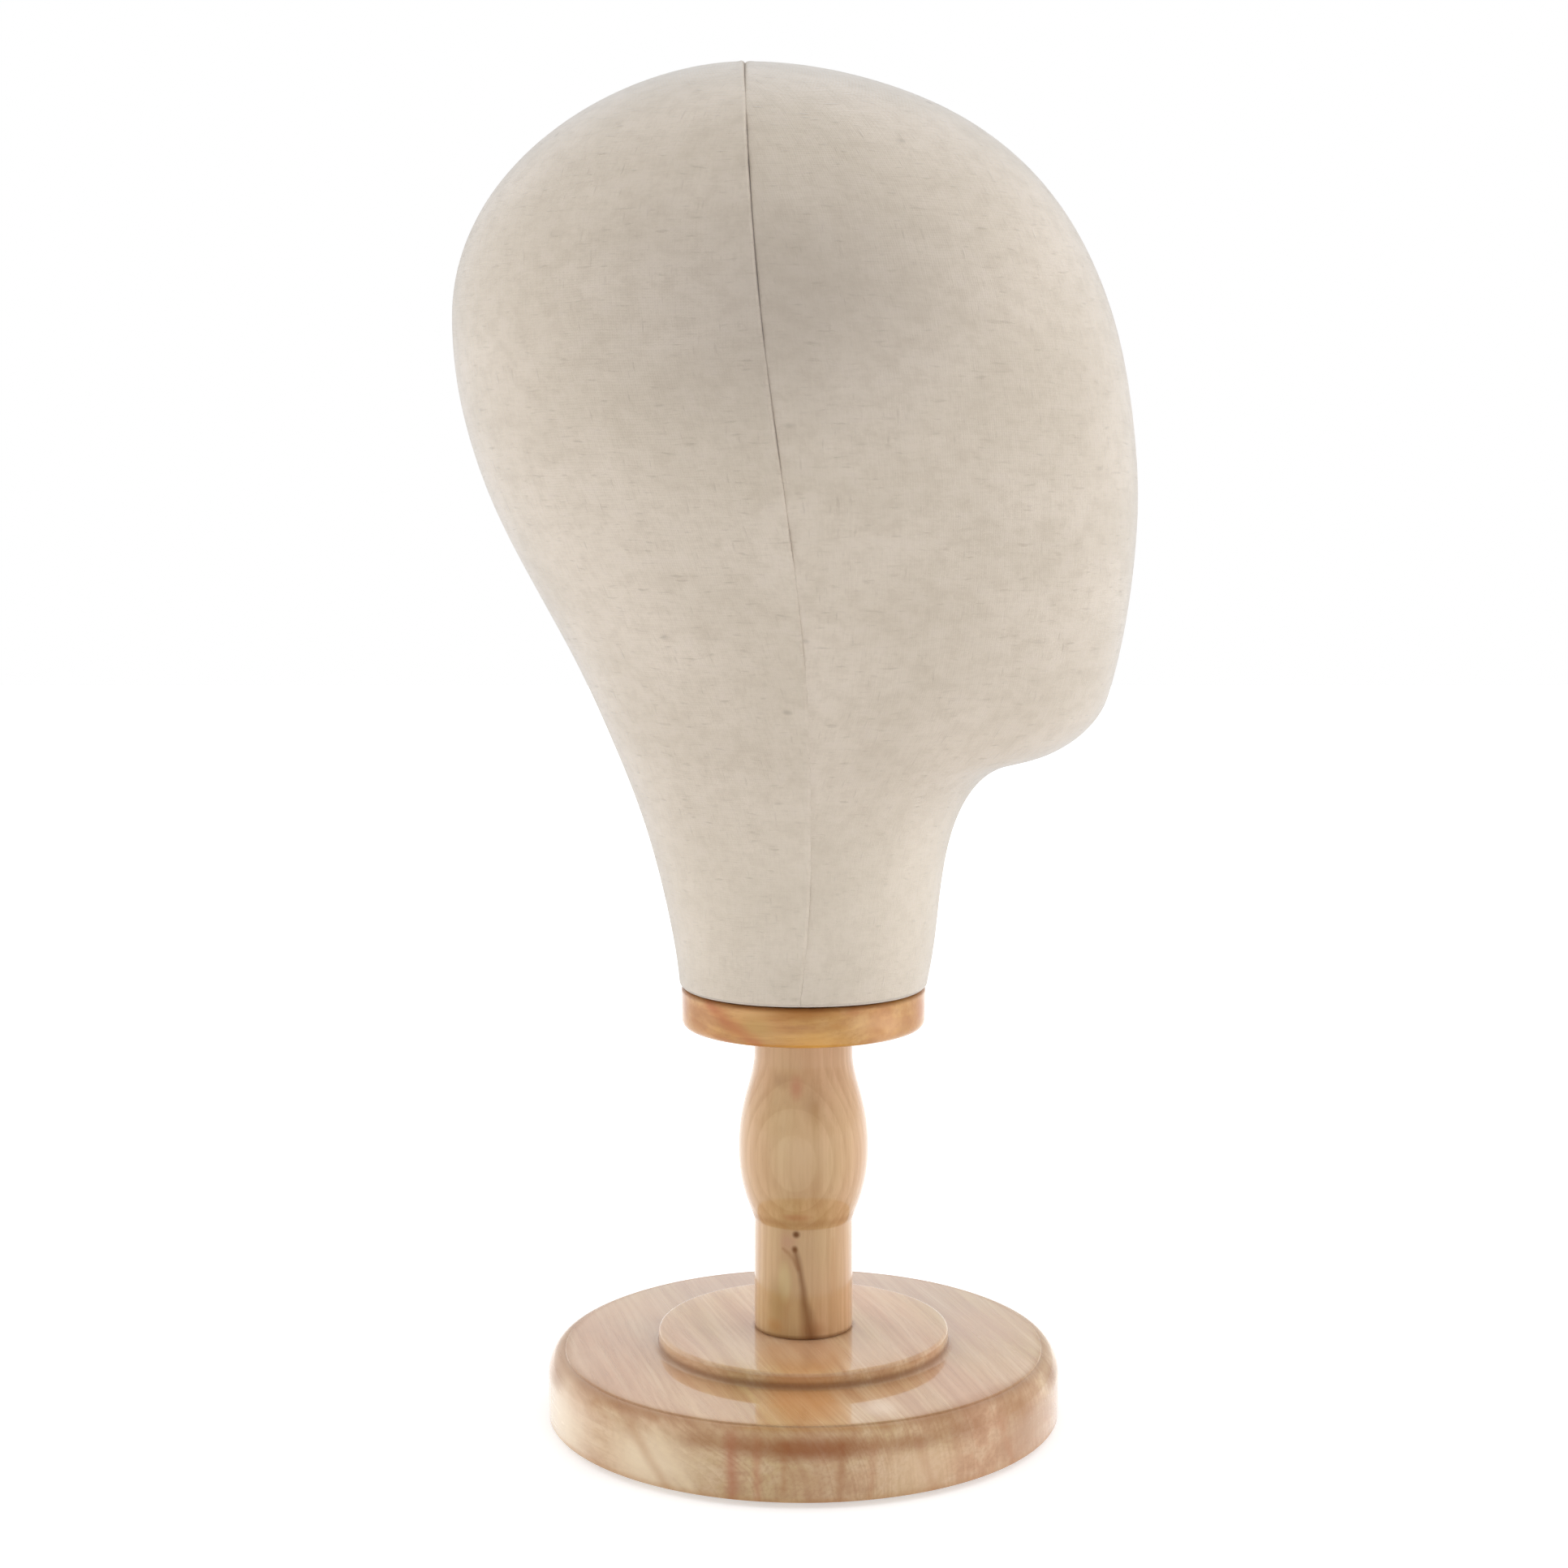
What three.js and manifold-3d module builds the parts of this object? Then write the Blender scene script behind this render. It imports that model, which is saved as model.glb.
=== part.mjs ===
// A wig maker's canvas block head on a turned wooden stand.
// Millimetres, +Z up. The origin is under the post's axis on the table, and the head faces +X.

import * as THREE from "three";
import { mergeVertices } from "three/addons/utils/BufferGeometryUtils.js";
import Module from "manifold-3d";

const wasm = await Module();
wasm.setup();

// Room between pieces that are fitted together
const seatGap = 0.3;
const shankRoom = 0.3;

// Felt pad under the base
const padThickness = 1.5;
const padRadius = 70;

// Turned base: a flat disc with a rounded shoulder and a raised step under the post
const baseRadius = 75;
const baseWallHeight = 12.2;
const shoulderWidth = 5;
const shoulderHeight = 7.4;
const stepHeight = 4.9;
const stepRadius = 42.6;
const stepEdge = 1.2;
const stepCove = 1.8;
const baseChamfer = 0.8;

// Bolt that clamps the post to the base from below
const boltRadius = 4;
const boltHeadAcrossFlats = 13;
const boltHeadHeight = 5.3;
const boltEntry = 17;
const washerRadius = 11;
const washerThickness = 1.6;
const bolsterDepth = 9;
const insertWall = 2;
const insertLength = 20;

// Turned post with an egg-shaped swelling
const postHeight = 89.7;
const postRadius = 14.4;
const bulbRadius = 19;
const bulbStart = 32.5;
const bulbBelly = 53.5;
const bulbEnd = 80.5;
const postChamfer = 0.6;

// Stud at the top of the post, on which the head screws down
const studRadius = 4;
const studStandsUp = 18;
const studInPost = 30;
const studChamfer = 0.8;

// Turned disc under the neck
const discRadius = 35.4;
const discThickness = 11.5;
const discTopEdge = 1;
const discBottomEdge = 2.8;

// Nut in the disc that runs on the stud
const nutWall = 1.4;
const nutLength = 9;
const nutFlangeRadius = 9.5;
const nutFlangeThickness = 1.2;

// Wooden block inside the neck, which takes the disc's screws and the hem's tacks
const blockRadius = 30;
const blockHeight = 58;
const blockChamfer = 3;
const studWellDepth = 14;

// Countersunk screws from the disc up into the block
const screwCount = 4;
const screwCircle = 19.2;
const screwRadius = 2;
const screwHeadRadius = 4;
const screwHeadHeight = 2.2;
const screwLength = 32;
const screwPoint = 4;

// Tacks that hold the turned hem under the block
const tackCount = 8;
const tackCircle = 27;
const tackHeadRadius = 2.2;
const tackHeadHeight = 0.5;
const tackRadius = 0.6;
const tackLength = 11;

// Canvas cover: a face panel and a back panel, sewn over the crown and turned under the neck
const canvasThickness = 1.2;
const hemOpening = 23.6;
const hemGap = 1;
const seamGap = 0.3;
const seamDip = 0.6;
const seamDipReach = 2.4;

// Head outline in mid-plane, all heights above the foot of the neck
const headHeight = 259.4;
const crownSetBack = 16;
const neckRadius = 36;
const throatReach = 41.1;
const throatHeight = 37.1;
const chinUnderReach = 62.2;
const chinUnderHeight = 65;
const chinReach = 87;
const chinHeight = 83.6;
const faceReach = 94.5;
const faceHeight = 145;
const napeReach = 62.5;
const napeHeight = 88;
const backReach = 98.7;
const backHeight = 189.3;

// Head outline across, at the seam
const neckHalfWidth = 36.2;
const neckWideHeight = 30;
const jawHalfWidth = 57;
const jawHeight = 88;
const headHalfWidth = 75;
const widestHeight = 188;

// Which way the outline heads at its keys, in degrees from level: 90 is straight up
const neckFrontHeading = 77;
const throatHeading = 80;
const chinUnderHeading = 4;
const chinHeading = 74;
const faceHeading = 93;
const neckBackHeading = 98;
const napeHeading = 115;
const backHeading = 90;
const neckSideHeading = 88;
const neckWideHeading = 80;
const jawHeading = 72;
const templeHeading = 90;
const crownRidge = 2.6;

// The seam's place fore and aft, from the neck to the crown
const seamAtFoot = -1;
const seamAtThroat = 2;
const seamAtCheek = 0;
const seamAtTemple = -11;
const cheekHeight = 100;

// How square a section is: 1 is an ellipse, less is fuller
const faceFullness = 0.93;
const backFullness = 0.98;

// Facets
const roundSides = 36;
const blockSides = 28;
const smallSides = 20;
const fastenerSides = 12;
const headRows = 32;
const rowEase = 0.055;
const closestRows = 0.3;
const panelColumns = 16;
const hemRollSteps = 2;

// Heights that follow from the pieces below
const baseBottom = padThickness;
const baseTop = baseBottom + baseWallHeight + shoulderHeight;
const stepTop = baseTop + stepHeight;
const postTop = stepTop + postHeight;
const discBottom = postTop + seatGap;
const discTop = discBottom + discThickness;
const neckFoot = discTop + hemGap;
const hemRoll = canvasThickness + seatGap;
const blockBottom = neckFoot + hemRoll;
const boltSeat = baseBottom + bolsterDepth;
const boltHoleRadius = boltRadius + shankRoom;
const studHoleRadius = studRadius + shankRoom;

const looks = {
  felt: { color: 0x3f3a36, roughness: 0.95, metalness: 0 },
  base: { color: 0xdcb592, roughness: 0.35, metalness: 0 },
  post: { color: 0xd2a878, roughness: 0.35, metalness: 0 },
  disc: { color: 0xdca76f, roughness: 0.35, metalness: 0 },
  steel: { color: 0xb9bbbd, roughness: 0.35, metalness: 1 },
  plainWood: { color: 0xcdb088, roughness: 0.8, metalness: 0 },
  cork: { color: 0xb08a5f, roughness: 0.95, metalness: 0 },
  linen: { color: 0xcfc3b4, roughness: 0.9, metalness: 0 },
};

const blockHead = new THREE.Group();

function addPart(name, geometry, look) {
  const mesh = new THREE.Mesh(geometry, new THREE.MeshStandardMaterial(look));
  mesh.name = name;
  blockHead.add(mesh);
  return mesh;
}

// Geometry helpers

function positionsOnly(geometry) {
  const plain = geometry.clone();
  plain.deleteAttribute("normal");
  plain.deleteAttribute("uv");
  return mergeVertices(plain);
}

function toSolid(geometry) {
  const merged = positionsOnly(geometry);
  const vertProperties = new Float32Array(merged.attributes.position.array);
  const triVerts = new Uint32Array(merged.index.array);
  return new wasm.Manifold(new wasm.Mesh({ numProp: 3, vertProperties, triVerts }));
}

function toGeometry(solid) {
  const mesh = solid.getMesh();
  const geometry = new THREE.BufferGeometry();
  geometry.setAttribute("position", new THREE.BufferAttribute(mesh.vertProperties, 3));
  geometry.setIndex(new THREE.BufferAttribute(mesh.triVerts, 1));
  return geometry;
}

function cutFrom(geometry, cutters) {
  let solid = toSolid(geometry);
  for (const cutter of cutters) {
    solid = solid.subtract(toSolid(cutter));
  }
  return toGeometry(solid);
}

// A turned piece about +Z. The outline is a THREE.Path of radius and height, drawn anticlockwise.
function turned(outline, sides, curvePoints = 5) {
  const geometry = new THREE.LatheGeometry(outline.getPoints(curvePoints), sides);
  return geometry.rotateX(Math.PI / 2);
}

// A turned outline from plain corners
function cornered(corners) {
  const path = new THREE.Path();
  path.setFromPoints(corners.map(([radius, height]) => new THREE.Vector2(radius, height)));
  return path;
}

function rodBetween(radius, bottom, top, sides) {
  return turned(cornered([[0, bottom], [radius, bottom], [radius, top], [0, top]]), sides);
}

function aroundCircle(count, radius, firstTurn, place) {
  for (let i = 0; i < count; i += 1) {
    const angle = 2 * Math.PI * (i + firstTurn) / count;
    place(i, radius * Math.cos(angle), radius * Math.sin(angle));
  }
}

// Stand

function makePad() {
  return rodBetween(padRadius, 0, padThickness, roundSides);
}

function makeBase() {
  const outline = new THREE.Path();
  const shoulderRadius = baseRadius - shoulderWidth;
  const counterboreRadius = washerRadius + 2 * shankRoom;
  outline.moveTo(counterboreRadius, baseBottom);
  outline.lineTo(baseRadius - baseChamfer, baseBottom);
  outline.lineTo(baseRadius, baseBottom + baseChamfer);
  outline.lineTo(baseRadius, baseBottom + baseWallHeight);
  outline.bezierCurveTo(
    baseRadius, baseBottom + baseWallHeight + 0.6 * shoulderHeight,
    shoulderRadius + 0.5 * shoulderWidth, baseTop,
    shoulderRadius, baseTop,
  );
  outline.lineTo(stepRadius + stepCove, baseTop);
  outline.quadraticCurveTo(stepRadius, baseTop, stepRadius, baseTop + stepCove);
  outline.lineTo(stepRadius, stepTop - stepEdge);
  outline.quadraticCurveTo(stepRadius, stepTop, stepRadius - stepEdge, stepTop);
  outline.lineTo(boltHoleRadius, stepTop);
  outline.lineTo(boltHoleRadius, boltSeat);
  outline.lineTo(counterboreRadius, boltSeat);
  outline.lineTo(counterboreRadius, baseBottom);
  return turned(outline, roundSides, 4);
}

function makeWasher() {
  const bottom = boltSeat - washerThickness;
  return turned(cornered([
    [boltHoleRadius, bottom],
    [washerRadius, bottom],
    [washerRadius, boltSeat],
    [boltHoleRadius, boltSeat],
    [boltHoleRadius, bottom],
  ]), smallSides);
}

function makeBolt() {
  const headTop = boltSeat - washerThickness;
  const headBottom = headTop - boltHeadHeight;
  const headCorner = boltHeadAcrossFlats / (2 * Math.cos(Math.PI / 6));
  const head = rodBetween(headCorner, headBottom, headTop, 6);
  const shank = turned(cornered([
    [0, headTop - boltHeadHeight / 2],
    [boltRadius, headTop - boltHeadHeight / 2],
    [boltRadius, stepTop + boltEntry - studChamfer],
    [boltRadius - studChamfer, stepTop + boltEntry],
    [0, stepTop + boltEntry],
  ]), smallSides);
  return toGeometry(toSolid(head).add(toSolid(shank)));
}

function makeInsert() {
  const bottom = stepTop + seatGap;
  const top = bottom + insertLength;
  return turned(cornered([
    [boltHoleRadius, bottom],
    [boltHoleRadius + insertWall, bottom],
    [boltHoleRadius + insertWall, top],
    [boltHoleRadius, top],
    [boltHoleRadius, bottom],
  ]), smallSides);
}

function makePost() {
  const insertHoleRadius = boltHoleRadius + insertWall + shankRoom;
  const insertHoleTop = stepTop + insertLength + 2 * seatGap;
  const start = stepTop + bulbStart;
  const belly = stepTop + bulbBelly;
  const end = stepTop + bulbEnd;
  const rise = belly - start;
  const fall = end - belly;
  const swell = bulbRadius - postRadius;
  const outline = new THREE.Path();
  outline.moveTo(0, insertHoleTop);
  outline.lineTo(insertHoleRadius, insertHoleTop);
  outline.lineTo(insertHoleRadius, stepTop);
  outline.lineTo(postRadius - postChamfer, stepTop);
  outline.lineTo(postRadius, stepTop + postChamfer);
  outline.lineTo(postRadius, start);
  outline.bezierCurveTo(
    postRadius + 0.12 * swell, start + 0.14 * rise,
    bulbRadius, start + 0.43 * rise,
    bulbRadius, belly,
  );
  outline.bezierCurveTo(
    bulbRadius, belly + 0.5 * fall,
    postRadius + 0.2 * swell, belly + 0.67 * fall,
    postRadius, end,
  );
  outline.lineTo(postRadius, postTop - postChamfer);
  outline.lineTo(postRadius - postChamfer, postTop);
  outline.lineTo(studHoleRadius, postTop);
  outline.lineTo(studHoleRadius, postTop - studInPost - seatGap);
  outline.lineTo(0, postTop - studInPost - seatGap);
  return turned(outline, roundSides, 6);
}

function makeStud() {
  const bottom = postTop - studInPost;
  const top = postTop + studStandsUp;
  return turned(cornered([
    [0, bottom],
    [studRadius - studChamfer, bottom],
    [studRadius, bottom + studChamfer],
    [studRadius, top - studChamfer],
    [studRadius - studChamfer, top],
    [0, top],
  ]), smallSides);
}

// Neck

function screwHoles(radius, bottom, top) {
  const holes = [];
  aroundCircle(screwCount, screwCircle, 0.5, (i, x, y) => {
    holes.push(rodBetween(radius, bottom, top, fastenerSides).translate(x, y, 0));
  });
  return holes;
}

function countersinks() {
  const sinks = [];
  const mouth = screwHeadRadius + shankRoom;
  const hole = screwRadius + shankRoom;
  aroundCircle(screwCount, screwCircle, 0.5, (i, x, y) => {
    const cone = turned(cornered([
      [0, discBottom - seatGap],
      [mouth, discBottom - seatGap],
      [mouth, discBottom + seatGap],
      [hole, discBottom + screwHeadHeight + seatGap],
      [0, discBottom + screwHeadHeight + seatGap],
    ]), fastenerSides);
    sinks.push(cone.translate(x, y, 0));
  });
  return sinks;
}

function makeDisc() {
  const nutHoleRadius = studHoleRadius + nutWall + shankRoom;
  const outline = new THREE.Path();
  outline.moveTo(nutHoleRadius, discBottom);
  outline.lineTo(discRadius - discBottomEdge, discBottom);
  outline.quadraticCurveTo(discRadius, discBottom, discRadius, discBottom + discBottomEdge);
  outline.lineTo(discRadius, discTop - discTopEdge);
  outline.quadraticCurveTo(discRadius, discTop, discRadius - discTopEdge, discTop);
  outline.lineTo(nutHoleRadius, discTop);
  outline.lineTo(nutHoleRadius, discBottom);
  const holes = screwHoles(screwRadius + shankRoom, discBottom - 1, discTop + 1);
  return cutFrom(turned(outline, roundSides, 4), [...countersinks(), ...holes]);
}

function makeNut() {
  const barrel = studHoleRadius + nutWall;
  const flangeTop = discTop + nutFlangeThickness;
  return turned(cornered([
    [studHoleRadius, discTop - nutLength],
    [barrel, discTop - nutLength],
    [barrel, discTop],
    [nutFlangeRadius, discTop],
    [nutFlangeRadius, flangeTop],
    [studHoleRadius, flangeTop],
    [studHoleRadius, discTop - nutLength],
  ]), smallSides);
}

function makeScrew() {
  const tip = discBottom + screwLength;
  return turned(cornered([
    [0, discBottom],
    [screwHeadRadius, discBottom],
    [screwRadius, discBottom + screwHeadHeight],
    [screwRadius, tip - screwPoint],
    [0, tip],
  ]), fastenerSides);
}

function makeTack() {
  const headTop = neckFoot - tackHeadHeight / 2;
  return turned(cornered([
    [0, headTop - tackHeadHeight],
    [0.6 * tackHeadRadius, headTop - 0.8 * tackHeadHeight],
    [tackHeadRadius, headTop],
    [tackRadius, headTop],
    [0.7 * tackRadius, headTop + 0.7 * tackLength],
    [0, headTop + tackLength],
  ]), 8);
}

function tackHoles() {
  const holes = [];
  const top = neckFoot + tackLength + seatGap;
  aroundCircle(tackCount, tackCircle, 0.5, (i, x, y) => {
    holes.push(rodBetween(tackRadius + shankRoom, discTop, top, 8).translate(x, y, 0));
  });
  return holes;
}

function makeBlock() {
  const top = blockBottom + blockHeight;
  const well = studHoleRadius + shankRoom;
  const plain = turned(cornered([
    [0, blockBottom + studWellDepth],
    [well, blockBottom + studWellDepth],
    [well, blockBottom],
    [blockRadius, blockBottom],
    [blockRadius, top - blockChamfer],
    [blockRadius - blockChamfer, top],
    [0, top],
  ]), blockSides);
  const pilots = screwHoles(screwRadius + shankRoom, discTop, discBottom + screwLength + seatGap);
  return cutFrom(plain, [...pilots, ...tackHoles()]);
}

// Head outline

// A smooth rail through keys, each with its place, its heading in degrees and its pull:
// how far the curve follows that heading before and after the key, as a share of the span.
function railThrough(keys) {
  const rail = new THREE.CurvePath();
  for (let i = 1; i < keys.length; i += 1) {
    const [fromX, fromZ, fromHeading, , pullAfter] = keys[i - 1];
    const [toX, toZ, toHeading, pullBefore] = keys[i];
    const from = new THREE.Vector2(fromX, fromZ);
    const to = new THREE.Vector2(toX, toZ);
    const span = from.distanceTo(to);
    rail.add(new THREE.CubicBezierCurve(
      from,
      from.clone().add(along(fromHeading, span * pullAfter)),
      to.clone().sub(along(toHeading, span * pullBefore)),
      to,
    ));
  }
  return rail;
}

function along(heading, distance) {
  const angle = THREE.MathUtils.degToRad(heading);
  return new THREE.Vector2(distance * Math.cos(angle), distance * Math.sin(angle));
}

const frontRail = railThrough([
  [neckRadius, hemRoll, neckFrontHeading, 0, 0.36],
  [throatReach, throatHeight, throatHeading, 0.38, 0.37],
  [chinUnderReach, chinUnderHeight, chinUnderHeading, 0.37, 0.33],
  [chinReach, chinHeight, chinHeading, 0.33, 0.3],
  [faceReach, faceHeight, faceHeading, 0.3, 0.41],
  [-crownSetBack, headHeight, 180 - crownRidge, 0.5, 0],
]);

const backRail = railThrough([
  [-neckRadius, hemRoll, neckBackHeading, 0, 0.39],
  [-napeReach, napeHeight, napeHeading, 0.37, 0.33],
  [-backReach, backHeight, backHeading, 0.41, 0.38],
  [-crownSetBack, headHeight, crownRidge, 0.35, 0],
]);

const sideRail = railThrough([
  [neckHalfWidth, hemRoll, neckSideHeading, 0, 0.36],
  [neckHalfWidth + 3, neckWideHeight, neckWideHeading, 0.36, 0.36],
  [jawHalfWidth, jawHeight, jawHeading, 0.36, 0.36],
  [headHalfWidth, widestHeight, templeHeading, 0.4, 0.42],
  [0, headHeight, 180, 0.46, 0],
]);

const seamLine = new THREE.SplineCurve([
  new THREE.Vector2(seamAtFoot, 0),
  new THREE.Vector2(seamAtThroat, throatHeight),
  new THREE.Vector2(seamAtCheek, cheekHeight),
  new THREE.Vector2(seamAtTemple, widestHeight),
  new THREE.Vector2(-crownSetBack, headHeight),
]).getPoints(80);

// The seam's place fore and aft at a height
function seamAt(height) {
  let i = 1;
  while (i < seamLine.length - 1 && seamLine[i].y < height) {
    i += 1;
  }
  const below = seamLine[i - 1];
  const above = seamLine[i];
  const share = THREE.MathUtils.clamp((height - below.y) / (above.y - below.y), 0, 1);
  return THREE.MathUtils.lerp(below.x, above.x, share);
}

// A point of the plain outline. Rise goes from the neck at 0 to the crown at 1, and turn goes
// round from the face at 0 over the seam at a quarter turn to the back at a half turn.
function outlineAt(rise, turn) {
  const side = sideRail.getPoint(rise);
  const middle = seamAt(side.y);
  const ahead = Math.cos(turn);
  const across = Math.sin(turn);
  const onFace = ahead >= 0;
  const rail = (onFace ? frontRail : backRail).getPoint(rise);
  const fullness = onFace ? faceFullness : backFullness;
  return new THREE.Vector3(
    middle + (rail.x - middle) * Math.abs(ahead) ** fullness,
    side.x * Math.sign(across) * Math.abs(across) ** fullness,
    side.y + (rail.y - side.y) * ahead * ahead,
  );
}

function outwardAt(rise, turn) {
  if (rise >= 1) {
    return new THREE.Vector3(0, 0, 1);
  }
  const step = 0.002;
  const up = outlineAt(Math.min(rise + step, 1), turn).sub(outlineAt(Math.max(rise - step, 0), turn));
  const round = outlineAt(rise, turn + step).sub(outlineAt(rise, turn - step));
  return round.cross(up).normalize();
}

// A point of the skin, set in from the outline, with the shallow valley along the seam
function skinAt(rise, turn, inset) {
  const point = outlineAt(rise, turn);
  const away = Math.abs(point.x - seamAt(sideRail.getPoint(rise).y)) / seamDipReach;
  const dip = seamDip * Math.exp(-away * away);
  return point.addScaledVector(outwardAt(rise, turn), -inset - dip);
}

// Rows lie closest together round the chin
function riseOf(share) {
  const fullTurn = 2 * Math.PI;
  const bend = Math.sin(fullTurn * (share - closestRows)) + Math.sin(fullTurn * closestRows);
  return share - rowEase * bend;
}

// Points down one line of the skin: from the crown to the neck, round the roll at its foot
// and in under the neck to the hem's opening
function skinLine(turn, inset, innerRadius, rollSteps) {
  const line = [];
  for (let row = headRows; row >= 0; row -= 1) {
    line.push(skinAt(riseOf(row / headRows), turn, inset));
  }
  const foot = line[line.length - 1];
  foot.z = hemRoll;
  const reach = Math.hypot(foot.x, foot.y);
  const outward = new THREE.Vector3(foot.x / reach, foot.y / reach, 0);
  const roll = hemRoll - inset;
  for (let i = 1; i <= rollSteps; i += 1) {
    const angle = (Math.PI / 2) * (i / rollSteps);
    const point = outward.clone().multiplyScalar(reach - roll + roll * Math.cos(angle));
    point.z = hemRoll - roll * Math.sin(angle);
    line.push(point);
  }
  const inner = outward.clone().multiplyScalar(innerRadius);
  inner.z = hemRoll - roll;
  line.push(inner);
  return line;
}

// Collects triangles and drops the ones that have no area, as at the crown
class Skin {
  constructor() {
    this.corners = [];
  }

  triangle(a, b, c, faceIn) {
    const area = b.clone().sub(a).cross(c.clone().sub(a)).length();
    if (area > 1e-6) {
      const corners = faceIn ? [a, c, b] : [a, b, c];
      this.corners.push(...corners.flatMap((corner) => corner.toArray()));
    }
  }

  // Fills between neighbouring lines of equal length. Skins that lie on each other are
  // split along the same diagonals, so their gap holds on twisted quads too.
  fill(lines, faceIn) {
    for (let i = 1; i < lines.length; i += 1) {
      for (let j = 1; j < lines[i].length; j += 1) {
        this.triangle(lines[i - 1][j - 1], lines[i - 1][j], lines[i][j], faceIn);
        this.triangle(lines[i - 1][j - 1], lines[i][j], lines[i][j - 1], faceIn);
      }
    }
  }

  geometry() {
    const geometry = new THREE.BufferGeometry();
    geometry.setAttribute("position", new THREE.Float32BufferAttribute(this.corners, 3));
    return mergeVertices(geometry);
  }
}

// The lines of one panel, as turns from seam to seam, with one close by each seam for its valley
function panelTurns(middleTurn) {
  const quarter = Math.PI / 2;
  const valley = quarter - Math.asin(seamDipReach / headHalfWidth);
  const turns = [middleTurn - quarter];
  for (let column = 0; column <= panelColumns - 2; column += 1) {
    turns.push(middleTurn + valley * ((2 * column) / (panelColumns - 2) - 1));
  }
  turns.push(middleTurn + quarter);
  return turns;
}

// One canvas panel, from seam to seam, with its thickness and its turned hem
function makePanel(middleTurn, shift) {
  const turns = panelTurns(middleTurn);
  const outer = turns.map((turn) => skinLine(turn, 0, hemOpening, hemRollSteps));
  const inner = turns.map((turn) => skinLine(turn, canvasThickness, hemOpening, hemRollSteps));
  const first = [outer[0], inner[0]];
  const last = [outer[panelColumns], inner[panelColumns]];
  const edge = outer.map((line, i) => [line[line.length - 1], inner[i][line.length - 1]]);
  const skin = new Skin();
  skin.fill(outer, false);
  skin.fill(inner, true);
  skin.fill(first, true);
  skin.fill(last, false);
  skin.fill(edge, false);
  const panel = skin.geometry().translate(shift, 0, neckFoot);
  return cutFrom(panel, tackHoles());
}

// The packed core, which fills the canvas and wraps the neck block
function makeCore() {
  const turns = [...panelTurns(0).slice(1), ...panelTurns(Math.PI).slice(1)];
  const lines = turns.map((turn) => skinLine(turn, canvasThickness + seatGap, 0, 0));
  lines.push(lines[0]);
  const skin = new Skin();
  skin.fill(lines, false);
  const packed = skin.geometry().translate(0, 0, neckFoot);
  const wellTop = blockBottom + blockHeight + seatGap;
  const well = rodBetween(blockRadius + seatGap, neckFoot, wellTop, blockSides);
  return cutFrom(packed, [well]);
}

// The stand, from the table up
addPart("base_pad", makePad(), looks.felt);
addPart("base_disc", makeBase(), looks.base);
addPart("base_washer", makeWasher(), looks.steel);
addPart("base_bolt", makeBolt(), looks.steel);
addPart("post_insert", makeInsert(), looks.steel);
addPart("post", makePost(), looks.post);
addPart("head_stud", makeStud(), looks.steel);

// The neck, which turns with the head
addPart("neck_disc", makeDisc(), looks.disc);
addPart("neck_nut", makeNut(), looks.steel);
addPart("neck_block", makeBlock(), looks.plainWood);
aroundCircle(screwCount, screwCircle, 0.5, (i, x, y) => {
  addPart(`disc_screw_${i + 1}`, makeScrew(), looks.steel).position.set(x, y, 0);
});
aroundCircle(tackCount, tackCircle, 0.5, (i, x, y) => {
  addPart(`hem_tack_${i + 1}`, makeTack(), looks.steel).position.set(x, y, 0);
});

// The head
addPart("core", makeCore(), looks.cork);
addPart("canvas_face", makePanel(0, seamGap / 2), looks.linen);
addPart("canvas_back", makePanel(Math.PI, -seamGap / 2), looks.linen);

export default blockHead;
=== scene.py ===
import math

import bmesh
import bpy
import numpy as np
from mathutils import Matrix, Vector


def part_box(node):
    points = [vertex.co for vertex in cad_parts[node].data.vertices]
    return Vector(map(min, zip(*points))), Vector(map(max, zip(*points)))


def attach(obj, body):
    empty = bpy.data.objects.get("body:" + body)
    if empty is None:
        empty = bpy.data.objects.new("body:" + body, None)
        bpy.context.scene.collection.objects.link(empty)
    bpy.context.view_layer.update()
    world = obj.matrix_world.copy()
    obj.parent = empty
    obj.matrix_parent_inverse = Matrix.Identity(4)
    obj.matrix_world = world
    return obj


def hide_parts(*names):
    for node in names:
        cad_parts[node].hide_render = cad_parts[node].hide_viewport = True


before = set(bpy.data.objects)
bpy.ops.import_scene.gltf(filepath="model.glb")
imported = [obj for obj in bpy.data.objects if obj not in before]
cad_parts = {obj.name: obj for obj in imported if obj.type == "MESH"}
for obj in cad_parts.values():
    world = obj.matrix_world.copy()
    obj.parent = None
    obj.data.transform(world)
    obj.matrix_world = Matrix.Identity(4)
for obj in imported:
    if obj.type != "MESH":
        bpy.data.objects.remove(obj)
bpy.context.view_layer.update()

mm = 0.001

# heights that several pieces share, in mm above the table, read from the frame
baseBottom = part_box("base_disc")[0].z / mm
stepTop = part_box("base_disc")[1].z / mm
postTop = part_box("post")[1].z / mm
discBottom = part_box("neck_disc")[0].z / mm
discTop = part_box("neck_disc")[1].z / mm
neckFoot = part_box("canvas_face")[0].z / mm


# a colour as it shows on the screen, 0 to 255, made linear by the screen's own curve
def paint(red, green, blue):
    shares = [value / 255 for value in (red, green, blue)]
    linear = [share / 12.92 if share <= 0.04045 else ((share + 0.055) / 1.055) ** 2.4 for share in shares]
    return (*linear, 1)


# camera, floor and light

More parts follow.
